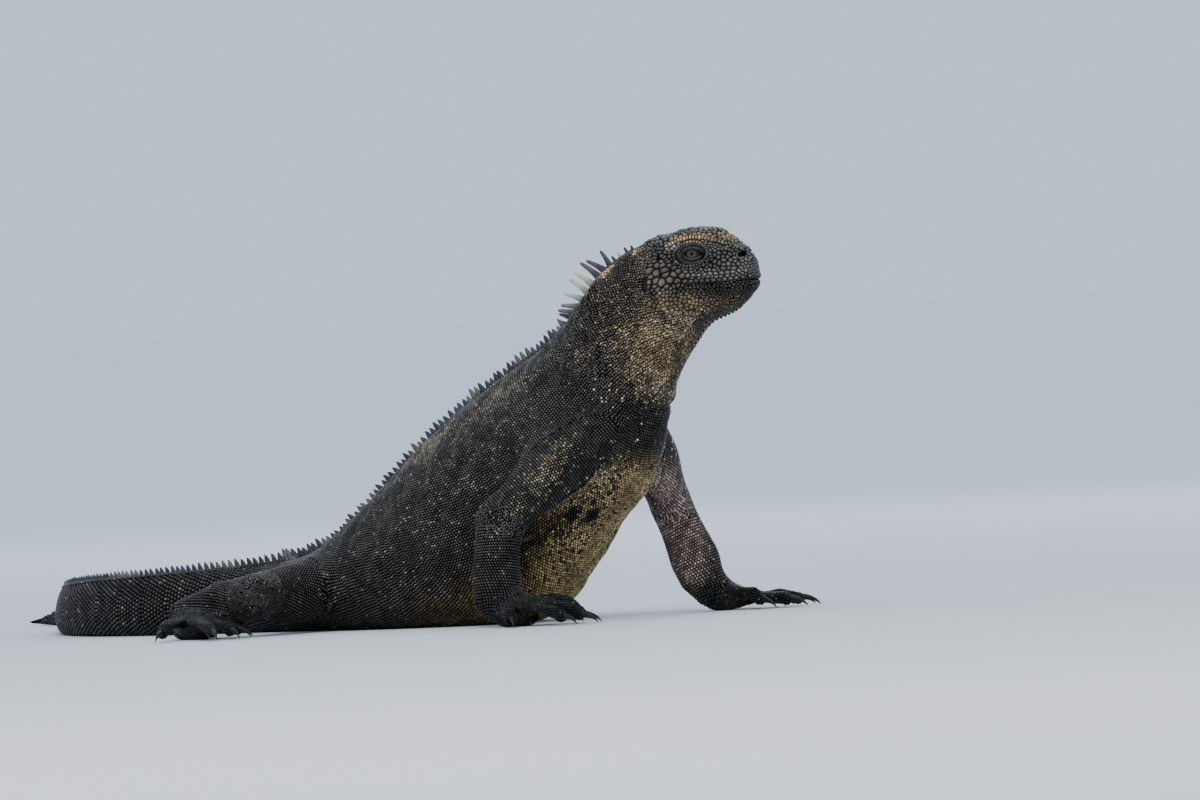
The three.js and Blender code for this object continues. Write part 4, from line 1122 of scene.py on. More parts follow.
def scale_piece(name, roots, shape, tint, material, slot):
    """One joined mesh of the domes on the roots, each with its colour and its patch of the bake's map."""
    vertices, faces, local, level = shape
    count, each = vertices.shape[:2]
    all_faces = repeated(faces, each, count)
    vertices[..., 2] = np.maximum(vertices[..., 2], FLOOR_GAP)
    vertices[..., 0] = np.minimum(vertices[..., 0], FRONT)
    piece = mesh_object(name, vertices.reshape(-1, 3), all_faces, material)
    paint_on(piece, np.repeat(tint, each, axis=0), np.tile(level, count))
    flat = roots["flat"]
    low, high = flat.min(axis=0), flat.max(axis=0)
    centre = 0.01 + 0.98 * (flat - low) / np.maximum(high - low, 1e-6)
    uv = (centre[:, None] + local * UV_PATCH).reshape(-1, 2)[all_faces.ravel()]
    unwrap_on(piece, uv)
    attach(piece, "root")


# Profiles of domes, from the rim up: the share of the outline and of the height.
BEADED = [(1.0, -0.6), (0.68, 0.62)]
PLATED = [(1.0, -0.6), (0.93, 0.3), (0.76, 0.72), (0.42, 0.94)]
BUMPY = [(1.0, -0.5), (0.8, 0.35), (0.5, 0.75)]
MOST_SCALES = 8800  # in one piece, so that it stays under 200,000 triangles


def speckled(roots, spread=1.25, dusty=0.02):
    """Each scale's colour: the markings, lighter or darker by the 1.5th power of chance, and some dusty."""
    count = len(roots["place"])
    tint = markings(roots["place"], roots["out"], random.random(count))
    tint = tint * (1 - 0.45 * spread + spread * random.random(count) ** 1.5)[:, None]
    return blended(tint, colour("#7a746a"), np.where(random.random(count) < dusty, 0.45, 0.0))


def lay_scales(name, roots, slot="skin", height=0.36, material=None):
    """Low beads on the roots: a little longer than wide, with the top moved towards the tail."""
    parts = np.array_split(np.arange(len(roots["place"])), len(roots["place"]) // MOST_SCALES + 1)
    for i, part in enumerate(parts):
        some = picked(roots, part)
        size = some["size"]
        shape = raised(some, oval(size * 0.52, size * 0.48, 6), height * size, BEADED, lean=0.3)
        piece_name = f"{name}_{i + 1}" if len(parts) > 1 else name
        scale_piece(piece_name, some, shape, speckled(some), material or scale_material, slot)


# Face: plates of many sizes, each filling its cell between its neighbours, as seen on the animal's head. Rows
# of them follow the lips, the brow, the nostril and the lids, and the others are spread apart by pushing.
def face_zone(back, up):
    """Where the head has plates and not rows of small scales: before the ear, above the throat."""
    return (back < 50 + 5 * smooth(up, 8, 13)) & (up > -6 - 8 * hump(back, 32, 17))


# Where plates are larger or smaller: back, up, spreads, and how much is added to their spacing.
PLATE_ZONES = [
    (44.5, 5.5, 7.0, 6.0, 1.9),  # temple
    (35, 4, 6, 3.5, 1.0),  # cheek
    (12, 9, 9, 4.5, 1.0),  # side of the snout
    (27, 29, 12, 5, 1.3),  # crown
    (45, 24, 10, 6, 0.6),  # back of the crown
    (29, 14.3, 8.0, 6.0, -0.5),  # round the eye
    (3, 5, 4, 6, -0.3),  # tip of the snout
    (8, -7, 9, 5, -0.35),  # chin
    (37, -9, 11, 6, 0.3),  # jowl
]


def plate_spacing(back, up):
    """Spacing of the plates: 1.5 mm and what the zones add, kept from 0.95 to 3.6 mm."""
    return np.clip(1.5 + forms(PLATE_ZONES, back, up), 0.95, 3.6)


CHEEK_STRETCH = 0.3  # heights count this much more than lengths, which makes the plates of the cheeks long
BARE = [(EYE, 7.3, 5.3), (NOSTRIL, 1.6, 1.6), (EAR, 2.4, 3.4)]  # half lengths of the ovals without plates


def stretched(place):
    """Places with their heights drawn out."""
    return place * [1, 1, 1 + CHEEK_STRETCH]


def nearest_others(place, near):
    """Numbers of the nearest places to each, itself among them, from all distances, block by block."""
    place = place.astype(np.float32)
    found = []
    for block in np.array_split(place, len(place) // 400 + 1):
        distance = ((block[:, None] - place[None]) ** 2).sum(axis=2)
        found.append(np.argpartition(distance, near, axis=1)[:, :near])
    return np.vstack(found)


def spaced(place, size, fixed, share=0.8, near=26):
    """Which places stay, so that none lies within a share of another's spacing.

    By turns each place that chance puts first among the open ones near it stays, and closes those others.
    The fixed ones come first of all.
    """
    order = np.where(fixed, -1.0, random.random(len(place)))
    nearest = nearest_others(place, near)
    gap = np.linalg.norm(place[:, None] - place[nearest], axis=2)
    close = (gap < share * (size[:, None] + size[nearest]) / 2) & (gap > 1e-6)
    still_open = np.ones(len(place), bool)
    kept = np.zeros(len(place), bool)
    for _ in range(12):
        rival = np.where(close & still_open[nearest], order[nearest], 9).min(axis=1)
        first = still_open & (order <= rival)
        kept |= first
        still_open &= ~first & ~(close & kept[nearest]).any(axis=1)
    return kept


def pushed_apart(place, size, fixed, rounds=4, steps=6, near=12):
    """Free places moved in steps from any nearer than their sizes ask, by 0.22 of what is lacking.

    The nearest places are looked up anew in each round, and the fixed ones push without being moved.
    """
    for _ in range(rounds):
        nearest = nearest_others(place, near)
        for _ in range(steps):
            apart = place[:, None] - place[nearest]
            gap = np.linalg.norm(apart, axis=2)
            lacking = np.clip((size[:, None] + size[nearest]) / 2 - gap, 0, None)
            push = lacking * (gap > 1e-6) / np.maximum(gap, 0.05)
            move = 0.22 * (apart * push[..., None]).sum(axis=1)
            place = place + np.where(fixed[:, None], 0, move)
    return place


def cells(roots, sides, gap=0.07, limit=0.92, power=14, near=13):
    """Outlines of the cells between neighbours, in the plane of the skin.

    Towards each neighbour a cell reaches to the line that parts their distance by their sizes, less half a
    gap. In each direction its reach is a power mean of the distances to these lines and of a limit, which
    rounds the corners.
    """
    across, back = tangent_axes(roots)
    wider = 1 + CHEEK_STRETCH * across[:, 2:] ** 2
    neighbours = nearest_others(stretched(roots["place"]), near)
    offsets = roots["place"][neighbours] - roots["place"][:, None]
    a = np.einsum("ijk,ik->ij", offsets, back)
    b = np.einsum("ijk,ik->ij", offsets, across) * wider
    size = roots["size"]
    lips_part = 0.3 * (roots["lip"][:, None] * roots["lip"][neighbours] < 0)
    edge = np.hypot(a, b) * size[:, None] / (size[:, None] + size[neighbours]) - gap / 2 - lips_part
    same_side = np.einsum("ijk,ik->ij", roots["out"][neighbours], roots["out"]) > 0
    counts = (np.hypot(a, b) > 1e-4) & same_side
    angle = full_turn(sides)
    toward = np.cos(angle[None, None] - np.arctan2(b, a)[..., None])
    lean = np.where(counts[..., None], np.maximum(toward, 0) / np.maximum(edge, 0.12)[..., None], 0)
    total = (lean**power).sum(axis=1) + (1 / (limit * size[:, None])) ** power
    reach = total ** (-1 / power)
    way = np.stack([np.broadcast_to(np.cos(angle), reach.shape), np.sin(angle) / wider], -1)
    return reach[..., None] * way


# A fine grid over the left side of the head, with its distance back and up.
side_q, side_turn = np.meshgrid(np.linspace(-0.995, 7.8, 700), np.linspace(0.0, np.pi, 420), indexing="ij")
_, _, _, side_x, side_z = section_place(side_q, side_turn, -COAT)
SIDE_BACK, SIDE_UP = head_frame(side_x - np.minimum(side_q, 0) * SNOUT_CAP, side_z)
SIDE_KEYS = np.stack([SIDE_BACK.ravel(), SIDE_UP.ravel()], -1).astype(np.float32)


def on_cheek(back, up, side):
    """The body's q and turn at places of the head's side, from the grid's nearest ones, block by block."""
    wanted = np.stack([back, up], -1).astype(np.float32)
    nearest = np.concatenate([
        ((SIDE_KEYS[:, 0] - block[:, :1]) ** 2 + (SIDE_KEYS[:, 1] - block[:, 1:]) ** 2).argmin(axis=1)
        for block in np.array_split(wanted, 12)
    ])
    return side_q.ravel()[nearest], side * side_turn.ravel()[nearest]


# Rows that follow a line of the face: from and to back, height at both ends over the mouth's line, how far
# the row is arched, spacing, the size of its cells, which lip it is, and how much its plates stand up.
FACE_ROWS = [
    (0.6, 33, 1.75, 1.6, 0, 2.6, 2.3, 1, 0.1),  # upper lip
    (1.8, 31, 4.4, 4.0, 0.3, 2.6, 2.2, 0, 0.1),  # above it
    (1.0, 32, -1.6, -1.6, 0, 1.8, 1.5, -1, 0.05),  # lower lip
    (2.2, 31, -3.4, -3.3, -0.3, 1.7, 1.5, 0, 0),  # below it
    (13.5, 42, 18.4, 18.4, 3.9, 1.45, 2.5, 0, 0.55),  # brow
]
FACE_LOOPS = [
    (NOSTRIL["back"], NOSTRIL["up"], 2.1, 2.0, 0.95),  # round the nostril: centre, half lengths, spacing
    (EYE["back"], EYE["up"], 8.1, 6.0, 1.35),  # round the lids
]


def face_lines():
    """Back, up, cell size, lip and rise of the places of all rows and loops of one side."""
    found = []
    for start, end, low, high, arch, step, size, lip, rise in FACE_ROWS:
        back = np.arange(start, end, step)
        share = (back - start) / (end - start)
        up = low + (high - low) * share + arch * np.sin(np.pi * share) + mouth_line(back)
        found.append(np.stack([back, up, *(np.full(len(back), v) for v in (size, lip, rise))], -1))
    for back, up, long, high, step in FACE_LOOPS:
        count = int(np.pi * (long + high) / step)
        turn = np.arange(count) * 2 * np.pi / count
        around = [back + long * np.cos(turn), up + high * np.sin(turn)]
        found.append(np.stack([*around, *(np.full(count, v) for v in (step, 0.0, 0.0))], -1))
    return np.vstack(found)


def cheek_roots(back, up, size, lip, rise):
    """Roots on both sides of the head at places given by back and up."""
    found = []
    for side in (-1, 1):
        q, turn = on_cheek(back, up, side)
        found.append({
            "place": body_point(q, turn), "back": towards_tail(q, turn, 0.05), "size": size,
            "flat": np.stack([back, side * (40 - up)], -1), "lip": lip, "rise": rise,
        })
    return together(*found)


def free_plates(fixed):
    """Roots of the face's other plates: chosen by chance as close as their sizes ask, then pushed apart."""
    roots = body_roots(([0, 8], [0.75, 0.75]), ([0, 8], [0.75, 0.75]), high_q=7.6)
    back, up = head_coordinates(roots["place"])
    chance = random.random(len(back)) < 3.2 * (0.75 / plate_spacing(back, up)) ** 2
    roots = picked(roots, face_zone(back, up) & chance)
    count = len(roots["place"])
    roots["size"] = plate_spacing(*head_coordinates(roots["place"])) * (0.8 + 0.5 * random.random(count))
    roots["lip"] = roots["rise"] = np.zeros(count)
    place = stretched(np.vstack([fixed["place"], roots["place"]]))
    size = np.concatenate([fixed["size"], roots["size"]])
    still = np.arange(len(place)) < len(fixed["place"])
    kept = spaced(place, size, still) | still
    moved = pushed_apart(place[kept], size[kept], still[kept])[~still[kept]] / stretched(np.ones(3))
    roots = dict(picked(roots, kept[~still]), place=moved)
    back, up = head_coordinates(moved)
    outside = np.all([from_oval(back, up, *oval_of) > 1 for oval_of in BARE], axis=0)
    for block in np.array_split(np.arange(len(back)), 8):
        gap = np.linalg.norm(moved[block, None] - fixed["place"][None], axis=2)
        outside[block] &= (gap > 0.3 * (roots["size"][block, None] + fixed["size"][None])).all(axis=1)
    return picked(roots, outside)


def plate_heights(roots):
    """How high plates stand: 0.19 of their size, 0.12 mm and their rise, and half that at the snout's tip.

    On top of the head, before and behind its smooth crown, bumps add 0.25 to 0.75 of their size by chance.
    """
    back, _ = head_coordinates(roots["place"])
    on_top = smooth(roots["out"][:, 2], 0.3, 0.75) * smooth(roots["rise"], 0.2, 0)
    crown = hump(back, 25, 9)
    bumps = 0.5 * on_top * (1 - crown) * smooth(back, 4, 12) * (0.5 + random.random(len(back)))
    high = roots["size"] * (0.19 + bumps) + 0.12 + roots["rise"]
    return high * (1 - 0.5 * smooth(back, 5, 0))


fixed_roots = cheek_roots(*face_lines().T)
plate_roots = on_skin(together(fixed_roots, free_plates(fixed_roots)))
plate_high = plate_heights(plate_roots)
plate_outline = cells(plate_roots, 14)
for side in (-1, 1):
    half = (plate_roots["flat"][:, 1] * side) > 0
    some = picked(plate_roots, half)
    shape = raised(some, plate_outline[half], plate_high[half], PLATED, lean=0.08)
    tint = speckled(some, 0.8, 0)
    scale_piece(f"face_plates_{SIDE_NAMES[side]}", some, shape, tint, plate_material, "skin")

# Rows of scales over the rest, in pieces by the length of the body.
SIZES_AT = [0, 6, 8.5, 12, 19, 22, 29]  # values of q where these spacings and pitches of the scales hold
SCALE_SPACING = (SIZES_AT, [1.2, 1.2, 1.25, 1.3, 1.45, 2.2, 2.7])
SCALE_PITCH = (SIZES_AT, [1.4, 1.4, 1.35, 1.45, 1.6, 2.0, 2.2])
small = body_roots(SCALE_SPACING, SCALE_PITCH)
small_back, small_up = head_coordinates(small["place"])
small = picked(small, ~(face_zone(small_back, small_up) & (small["q"] < 7.7)))
small = on_skin(small, reach=4)
small_back, small_up = head_coordinates(small["place"])
small = picked(small, (from_oval(small_back, small_up, EAR, 2.6, 3.7) >= 1) | (small["q"] > 9))
PARTS = [
    ("scales_throat", -1, 8.5, "throat_skin"),
    ("scales_neck", 8.5, 11.5, "throat_skin"),
    ("scales_shoulders", 11.5, 14, "skin"),
    ("scales_chest", 14, 15.7, "skin"),
    ("scales_flanks", 15.7, 17.6, "skin"),
    ("scales_hips", 17.6, 20.5, "skin"),
    ("scales_tail", 20.5, 30, "skin"),
]
for name, low_q, high_q, slot in PARTS:
    lay_scales(name, picked(small, (small["q"] >= low_q) & (small["q"] < high_q)), slot)

# A row of small cones hangs along the middle of the throat, and one on each side of it.
cone_q, cone_turn = np.meshgrid(np.linspace(1.6, 6.4, 15), np.pi + np.array([-0.2, 0, 0.2]), indexing="ij")
cone_q, cone_turn = cone_q.ravel(), cone_turn.ravel()
cones = on_skin({
    "place": body_point(cone_q, cone_turn),
    "back": unit(body_point(cone_q + 0.05, cone_turn) - body_point(cone_q, cone_turn)),
    "size": 1.7 - 3 * np.abs(cone_turn - np.pi),
    "flat": np.stack([cone_q, cone_turn], -1),
})
cone_size = cones["size"]
shape = raised(cones, oval(cone_size * 0.5, cone_size * 0.42, 9), cone_size * 0.95, BUMPY, lean=0.5)
scale_piece("throat_cones", cones, shape, speckled(cones) * 0.8, plate_material, "throat_skin")

# Pitches of the scales on the limbs, and how close two of them may come on the skin.
LIMB_PITCH = 1.52
JOINT_PITCH = 1.4
PALM_PITCH = 1.4
TOE_PITCH = 1.45
LIMB_CLOSEST = 0.8


def limb_roots(limb):
    """Roots on both segments of a limb: rings along it, and places on a ball round its elbow or knee.

    Rings would fan out where a hind limb bends sharply, so the ball's places come first there.
    """
    kind = KINDS[limb["kind"]]
    root, joint, end = limb["joints"]
    rings = tube_roots(*bent_line(root, joint, end, kind), LIMB_PITCH, LIMB_UP)
    rings = on_skin(rings, reach=4.8, closest=LIMB_CLOSEST)
    ball = ball_roots(joint, kind["lower"][0] + 0.8, JOINT_PITCH, np.subtract(end, root))
    ball = on_skin(ball, reach=2.8, closest=LIMB_CLOSEST)
    if limb["kind"] == "hind":
        rings = clear_of(rings, ball, 0.5)
    else:
        ball = clear_of(ball, rings, 0.7)
    return clear_of(together(rings, ball), small)


def foot_roots(limb, on_limb):
    """Roots on the palm and toes, clear of those on the limb."""
    palm = palm_rows(limb)
    middle = palm.mean(axis=1)
    wide = np.linalg.norm(palm - middle[:, None], axis=2).max(axis=1)
    toes = [
        tube_roots(line, radius, TOE_PITCH, start=40 + 50 * i, apart=0.8)
        for i, (line, radius, _) in enumerate(toe_parts(limb, TOE_ROWS))
    ]
    roots = together(tube_roots(middle, wide, PALM_PITCH), *toes)
    return clear_of(on_skin(roots, reach=5), on_limb, 0.7)


for limb in LIMBS:
    segment, _, foot = KINDS[limb["kind"]]["names"]
    side_name = SIDE_NAMES[limb["side"]]
    on_limb = limb_roots(limb)
    lay_scales(f"scales_{segment}_{side_name}", on_limb, "skin", height=0.38)
    lay_scales(f"scales_{foot}_{side_name}", foot_roots(limb, on_limb), "foot_skin", 0.27, foot_material)

# Crest. Each row: step back from the last spine, length, lean in degrees and colour.
NAPE_FROM_Q = 7.25
NAPE_SPINES = [
    (0, 2.2, 0, "#24262b"), (3.4, 3.2, 0, "#24262b"), (4.2, 3.0, 0, "#a39768"),
    (3.4, 3.4, 4, "#332e33"), (3.8, 9.2, -1, "#3b3a40"), (2.8, 11.6, 29, "#46454f"),
    (5.0, 12.4, 11, "#514e55"), (5.0, 12.3, 10, "#b3af9a"), (4.8, 12.0, 6, "#b0ab90"),
    (4.0, 11.2, 24, "#a2a497"), (3.8, 10.6, 38, "#6b6266"), (3.9, 10.0, 31, "#554e53"),
    (3.6, 7.6, 20, "#262a33"), (3.4, 4.4, 26, "#23272f"),
]
# Combs of short spines: the q where each ends, its step, first and last length and how much lengths waver,
# thickness, and lean in degrees at both ends.
BACK_SPINES = {
    "until": 20.6, "step": 3.1, "length": 5.4, "last": 5.4, "wave": 1.3, "thick": 1.8, "lean": (-6, 24),
}
TAIL_SPINES = {
    "until": 28.3, "step": 3.6, "length": 4.6, "last": 1.2, "wave": 0.3, "thick": 1.7, "lean": (26, 30),
}
RIDGE = {"from": 6.9, "until": 28.4, "wide": 1.7, "high": 1.9}


def crest_axes(q):
    """Along the crest: the back's line, and the ways back, to the left and out of the animal."""
    q = np.asarray(q, float)
    back = unit(body_point(q + 0.04, 0.0, 0.0) - body_point(q - 0.04, 0.0, 0.0))
    side = unit(body_point(q, 0.05, 0.0) - body_point(q, -0.05, 0.0))
    return body_point(q, 0.0, 0.0), back, side, unit(np.cross(side, back))


def ridge_height(q):
    """The low fold that the spines stand on: highest over the trunk, low on the nape and tail."""
    return RIDGE["high"] * (0.35 + 0.65 * smooth(q, 10.5, 13) * smooth(q, 22.5, 20)) * smooth(q, 29, 26)


def ridge():
    """A fold along the crest: half a turn of an oval, sunk in the skin, pointed at both ends."""
    q = np.linspace(RIDGE["from"], RIDGE["until"], 420)
    root, _, side, out = crest_axes(q)
    turn = full_turn(14)
    ends = np.sqrt(np.clip(np.minimum(q - q[0], q[-1] - q) / 0.6, 0, 1))
    rough = 1 + 0.12 * np.sin(q * 37) + 0.08 * np.sin(q * 61 + 1)
    high = (ridge_height(q) * rough * ends)[:, None] * np.cos(turn) - 0.25
    wide = (RIDGE["wide"] * ends * (1 - 0.45 * smooth(q, 20, 28)))[:, None] * np.sin(turn)
    return tube(root[:, None] + out[:, None] * high[..., None] + side[:, None] * wide[..., None])


def long_profile(t):
    """Radius of a long spine: an even taper, flared at the foot, rounded by square roots at both ends."""
    taper = np.sqrt(np.minimum(1, t * 7)) * (1 - 0.6 * t) * (1 + 0.35 * (1 - t) ** 5)
    return taper * np.sqrt(np.minimum(1, (1 - t) * 9))


def short_profile(t):
    """Radius of a short spine: the root of 7 t, at most 1, times 1 less t to the 2.2, to the power 0.85."""
    return np.sqrt(np.minimum(1, t * 7)) * (1 - t**2.2) ** 0.85


def spines(q, length, thick, lean, profile, along=9, around=8):
    """Slightly flattened spines on the crest, as one array of rows of points for each.

    The line of each bends back from its sunk root to its tip, and its radius is the profile's share of thick.
    """
    root, back, side, out = crest_axes(q)
    root = root + out * (ridge_height(q) * 0.7)[:, None]
    tip = root + out * (length * np.cos(lean))[:, None] + back * (length * np.sin(lean))[:, None]
    sunk = root - out * thick[:, None]
    middle = sunk * 0.45 + tip * 0.55 - back * (length * 0.07)[:, None]
    t = np.linspace(0, 1, along)[None, :, None]
    line = bow(t, sunk[:, None], middle[:, None], tip[:, None])
    tangent = unit(np.gradient(line, axis=1))
    front = unit(np.cross(np.broadcast_to(side[:, None], tangent.shape), tangent))
    radius = thick[:, None] * profile(t[..., 0])
    turn = full_turn(around)
    round_way = front[:, :, None] * np.sin(turn)[:, None] + 0.72 * side[:, None, None] * np.cos(turn)[:, None]
    return line[:, :, None] + radius[..., None, None] * round_way


def spine_mesh(rows):
    """Vertices and triangles of the spines, each vertex's share of the way up, and how many one spine has."""
    count, along, around, _ = rows.shape
    sides = rows[:, 1:-1].reshape(count, -1, 3)
    vertices = np.concatenate([rows[:, 0, :1], sides, rows[:, -1, :1]], axis=1)
    each = vertices.shape[1]
    faces = facing_out(vertices[0], tube_faces(along, around))
    share = np.concatenate([[0], np.repeat(np.linspace(0, 1, along)[1:-1], around), [1]])
    return vertices.reshape(-1, 3), repeated(faces, each, count), np.tile(share, count), each


def q_after(q, distance):
    """The q of a place further back along the crest, with the crest's length summed finely."""
    at = np.interp(q, fine_q, CREST_LENGTH) + distance
    return np.interp(at, CREST_LENGTH, fine_q)


def crest_piece(name, rows, tints, material):
    """One mesh of spines: each of its own colour, darker at its foot and paler towards its tip.

    On the map that the bake reads, each is a strip at its place along the crest: across it by the sine of the
    turn, and up it by the share of its height.
    """
    vertices, faces, share, each = spine_mesh(rows)
    piece = mesh_object(name, vertices, faces, material)
    count, along, around, _ = rows.shape
    across = np.concatenate([[0], np.tile(np.sin(full_turn(around)), along - 2), [0]])
    u = (np.arange(count)[:, None] + 0.5 + 0.4 * across) / count
    uv = np.stack([u.ravel(), 0.02 + 0.96 * share], -1)[faces.ravel()]
    unwrap_on(piece, uv)
    tint = np.repeat(tints, each, axis=0) * (0.55 + 0.6 * smooth(share, 0.1, 0.6))[:, None]
    paint_on(piece, tint, np.full(len(share), 0.6))
    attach(piece, "root")


CREST_LENGTH = length_along(body_point(fine_q, 0.0, 0.0))
# Horn-hard spines are smoother than the scales, evenly coloured, and gleam a little along their whole length.
spine_material = hide_material(
    "keratin spines, horn-hard", 0.42, 0.7, 0.06, depth=(0.6, 1.2), worn=0.2, shine=0.3
)
nape = np.array([row[:3] for row in NAPE_SPINES])
nape_q = q_after(NAPE_FROM_Q, np.cumsum(nape[:, 0]))
nape_rows = spines(nape_q, nape[:, 1], 0.8 + nape[:, 1] * 0.095, np.radians(nape[:, 2]), long_profile, 22, 16)
crest_piece("nape_spines", nape_rows, np.array([colour(row[3]) for row in NAPE_SPINES]), spine_material)


def comb(start_q, sizes):
    """The q, length, thickness and lean of a comb of spines at uneven steps.

    Lengths and leans go evenly from the comb's first to its last, and waver by chance.
    """
    first, last = sizes["length"], sizes["last"]
    room = np.interp([start_q, sizes["until"]], fine_q, CREST_LENGTH)
    at = room[0] + np.cumsum(sizes["step"] * (0.88 + 0.24 * random.random(400)))
    at = at[at < room[1]]
    share = (at - room[0]) / (room[1] - room[0])
    length = first + (last - first) * share + sizes["wave"] * (random.random(len(at)) - 0.5) * 2
    lean = np.radians(np.interp(share, [0, 1], sizes["lean"]) + 14 * (random.random(len(at)) - 0.5))
    thick = sizes["thick"] * (1 - 0.4 * share * (last < first))
    return np.stack([np.interp(at, CREST_LENGTH, fine_q), length, thick, lean], -1)


back_comb = comb(nape_q[-1], BACK_SPINES)
tail_comb = comb(back_comb[-1, 0], TAIL_SPINES)
comb_q, comb_length, comb_thick, comb_lean = np.vstack([back_comb, tail_comb]).T
dark_tints = colour("#252a31") * (0.7 + 0.9 * random.random(len(comb_q)))[:, None]
dark_tints = blended(dark_tints, colour("#5c5a52"), 0.7 * smooth(np.sin(comb_q * 4.1), 0.5, 0.95))
comb_rows = spines(comb_q, comb_length, comb_thick, comb_lean, short_profile)
crest_piece("back_spines", comb_rows, dark_tints, spine_material)


RIDGE_ROWS = np.radians([-76, -46, -20, 20, 46, 76])  # rows of scales on it, from its top


def ridge_width(q):
    """Half width of the fold, which narrows along the tail."""
    return RIDGE["wide"] * (1 - 0.45 * smooth(q, 20, 28))


def ridge_roots(apart=1.9):
    """Roots of scales in rows on the ridge's oval: its height times cosine and its width times sine."""
    room = np.interp([RIDGE["from"] + 0.4, RIDGE["until"] - 0.5], fine_q, CREST_LENGTH)
    at = np.arange(room[0], room[1], apart)
    angle = RIDGE_ROWS[None]
    at = at[:, None] + 0.5 * apart * (np.arange(len(RIDGE_ROWS)) % 2)[None]
    q = np.interp(at, CREST_LENGTH, fine_q)
    root, back, side, out = crest_axes(q)
    high, wide = ridge_height(q), ridge_width(q)
    way_out = unit(out * (np.cos(angle) / high)[..., None] + side * (np.sin(angle) / wide)[..., None])
    place = root + out * (high * np.cos(angle) - 0.25)[..., None] + side * (wide * np.sin(angle))[..., None]
    flat = np.stack([at, np.broadcast_to(wide * angle, at.shape)], -1)
    size = np.full(at.size, apart * 0.92)
    parts = (v.reshape(-1, v.shape[-1]) for v in (place, back, way_out, flat))
    return dict(zip(("place", "back", "out", "flat"), parts), size=size)


lay_scales("scales_ridge", ridge_roots(), "skin", height=0.34)
ridge_piece = mesh_object("crest_ridge", *ridge(), skin_material)
ridge_places = places_of(ridge_piece)
ridge_tint = markings(ridge_places, normals_of(ridge_piece), random.random(len(ridge_places)))
paint_on(ridge_piece, ridge_tint * 1.2, np.full(len(ridge_tint), 0.8))
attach(ridge_piece, "root")

# Claws of horn, grown and then ground smooth by use: nearly black with brown flecks and a low sheen. The
# flecks are about 1.1 mm apart, which is coarser than real ones, so that they show.
CLAW_FLECKS_MM = 1.111
claw_material, claw_tree, claw_where = new_material("horn claws, dark and worn smooth")
flecks = {"Scale": 1 / (CLAW_FLECKS_MM * MM), "Detail": 4.0}
claw_flecks = with_node(claw_tree, "TexNoise", flecks, claw_where).outputs["Fac"]
black_and_brown = {"A": (*colour("#080808"), 1), "B": (*colour("#221e19"), 1)}
claw_tone = with_node(claw_tree, "Mix", black_and_brown, {"Factor": claw_flecks}, data_type="RGBA")
claw_surface = with_node(
    claw_tree, "BsdfPrincipled", {"Roughness": 0.5, "IOR": 1.45, "Specular IOR Level": 0.25},
    {"Base Color": claw_tone.outputs["Result"]},
)
with_node(claw_tree, "OutputMaterial", None, {"Surface": claw_surface.outputs["BSDF"]})


def claw_rows(hook):
    """Rows of a claw round the bow of its hook's three points, with an even taper and roots at both ends."""
    t = np.linspace(0, 1, 18)
    taper = (CLAW_RADIUS - 0.05) * np.sqrt(np.minimum(1, t * 5)) * (1 - t * 0.94)
    radius = taper * np.sqrt(np.minimum(1, (1 - t) * 14))
    rows = swept(bow(t[:, None], *hook), radius, 14, flat=1.3)
    rows[..., 2] = np.maximum(rows[..., 2], LOWEST)
    return rows


for limb in LIMBS:
    shapes = [tube(claw_rows(hook)) for _, _, hook in toe_parts(limb, TOE_ROWS)]
    foot = KINDS[limb["kind"]]["names"][2]
    side_name = SIDE_NAMES[limb["side"]]
    claws = mesh_object(f"claws_{foot}_{side_name}", *joined(shapes), claw_material)
    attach(claws, "root")
    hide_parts(*[f"claw_{foot}_{side_name}_{i}" for i in range(1, 6)])

# Eyes. A brown-grey iris, flecked and dark at its rim, lies round a black pupil, and the wet film over it
# gives the eye one sharp glint. The stops of the ramp are shares of 5 mm from the middle.
OPENING = {"front": 4.4, "rear": 3.7, "upper": 1.8, "lower": 2.1}
ORBIT = (8.2, 6.1)  # half lengths of the oval where the lids end
IRIS_FLECKS_MM = 0.2857
eye_material, eye_tree, eye_where = new_material("living eye, brown-grey iris under a wet cornea")
eye_across = with_node(eye_tree, "Attribute", attribute_name="across").outputs["Fac"]
flecks = {"Scale": 1 / (IRIS_FLECKS_MM * MM), "Detail": 2.0}
eye_flecks = with_node(eye_tree, "TexNoise", flecks, eye_where).outputs["Fac"]
eye_ramp = with_node(eye_tree, "ValToRGB", None, {"Fac": eye_across})
eye_stops = [
    (0.0, "#010101"), (0.18, "#010101"), (0.21, "#3f3730"),
    (0.27, "#4a4139"), (0.42, "#39322c"), (0.56, "#0d0b09"),
]
while len(eye_ramp.color_ramp.elements) < len(eye_stops):
    eye_ramp.color_ramp.elements.new(0.5)
for stop, (at, hex_value) in zip(eye_ramp.color_ramp.elements, eye_stops):
    stop.position = at
    stop.color = (*colour(hex_value), 1)
lightness = {"From Min": 0.3, "From Max": 0.7, "To Min": 0.6, "To Max": 1.2}
eye_shade = with_node(eye_tree, "MapRange", lightness, {"Value": eye_flecks}).outputs["Result"]
shaded = {0: eye_ramp.outputs["Color"], "Scale": eye_shade}
eye_tone = with_node(eye_tree, "VectorMath", None, shaded, operation="SCALE")
wet = {
    "Roughness": 0.3, "IOR": 1.376, "Specular IOR Level": 0.1, "Coat Weight": 0.3, "Coat Roughness": 0.03,
}
eye_surface = with_node(
    eye_tree, "BsdfPrincipled", wet, {"Base Color": eye_tone.outputs["Vector"]}
)
with_node(eye_tree, "OutputMaterial", None, {"Surface": eye_surface.outputs["BSDF"]})


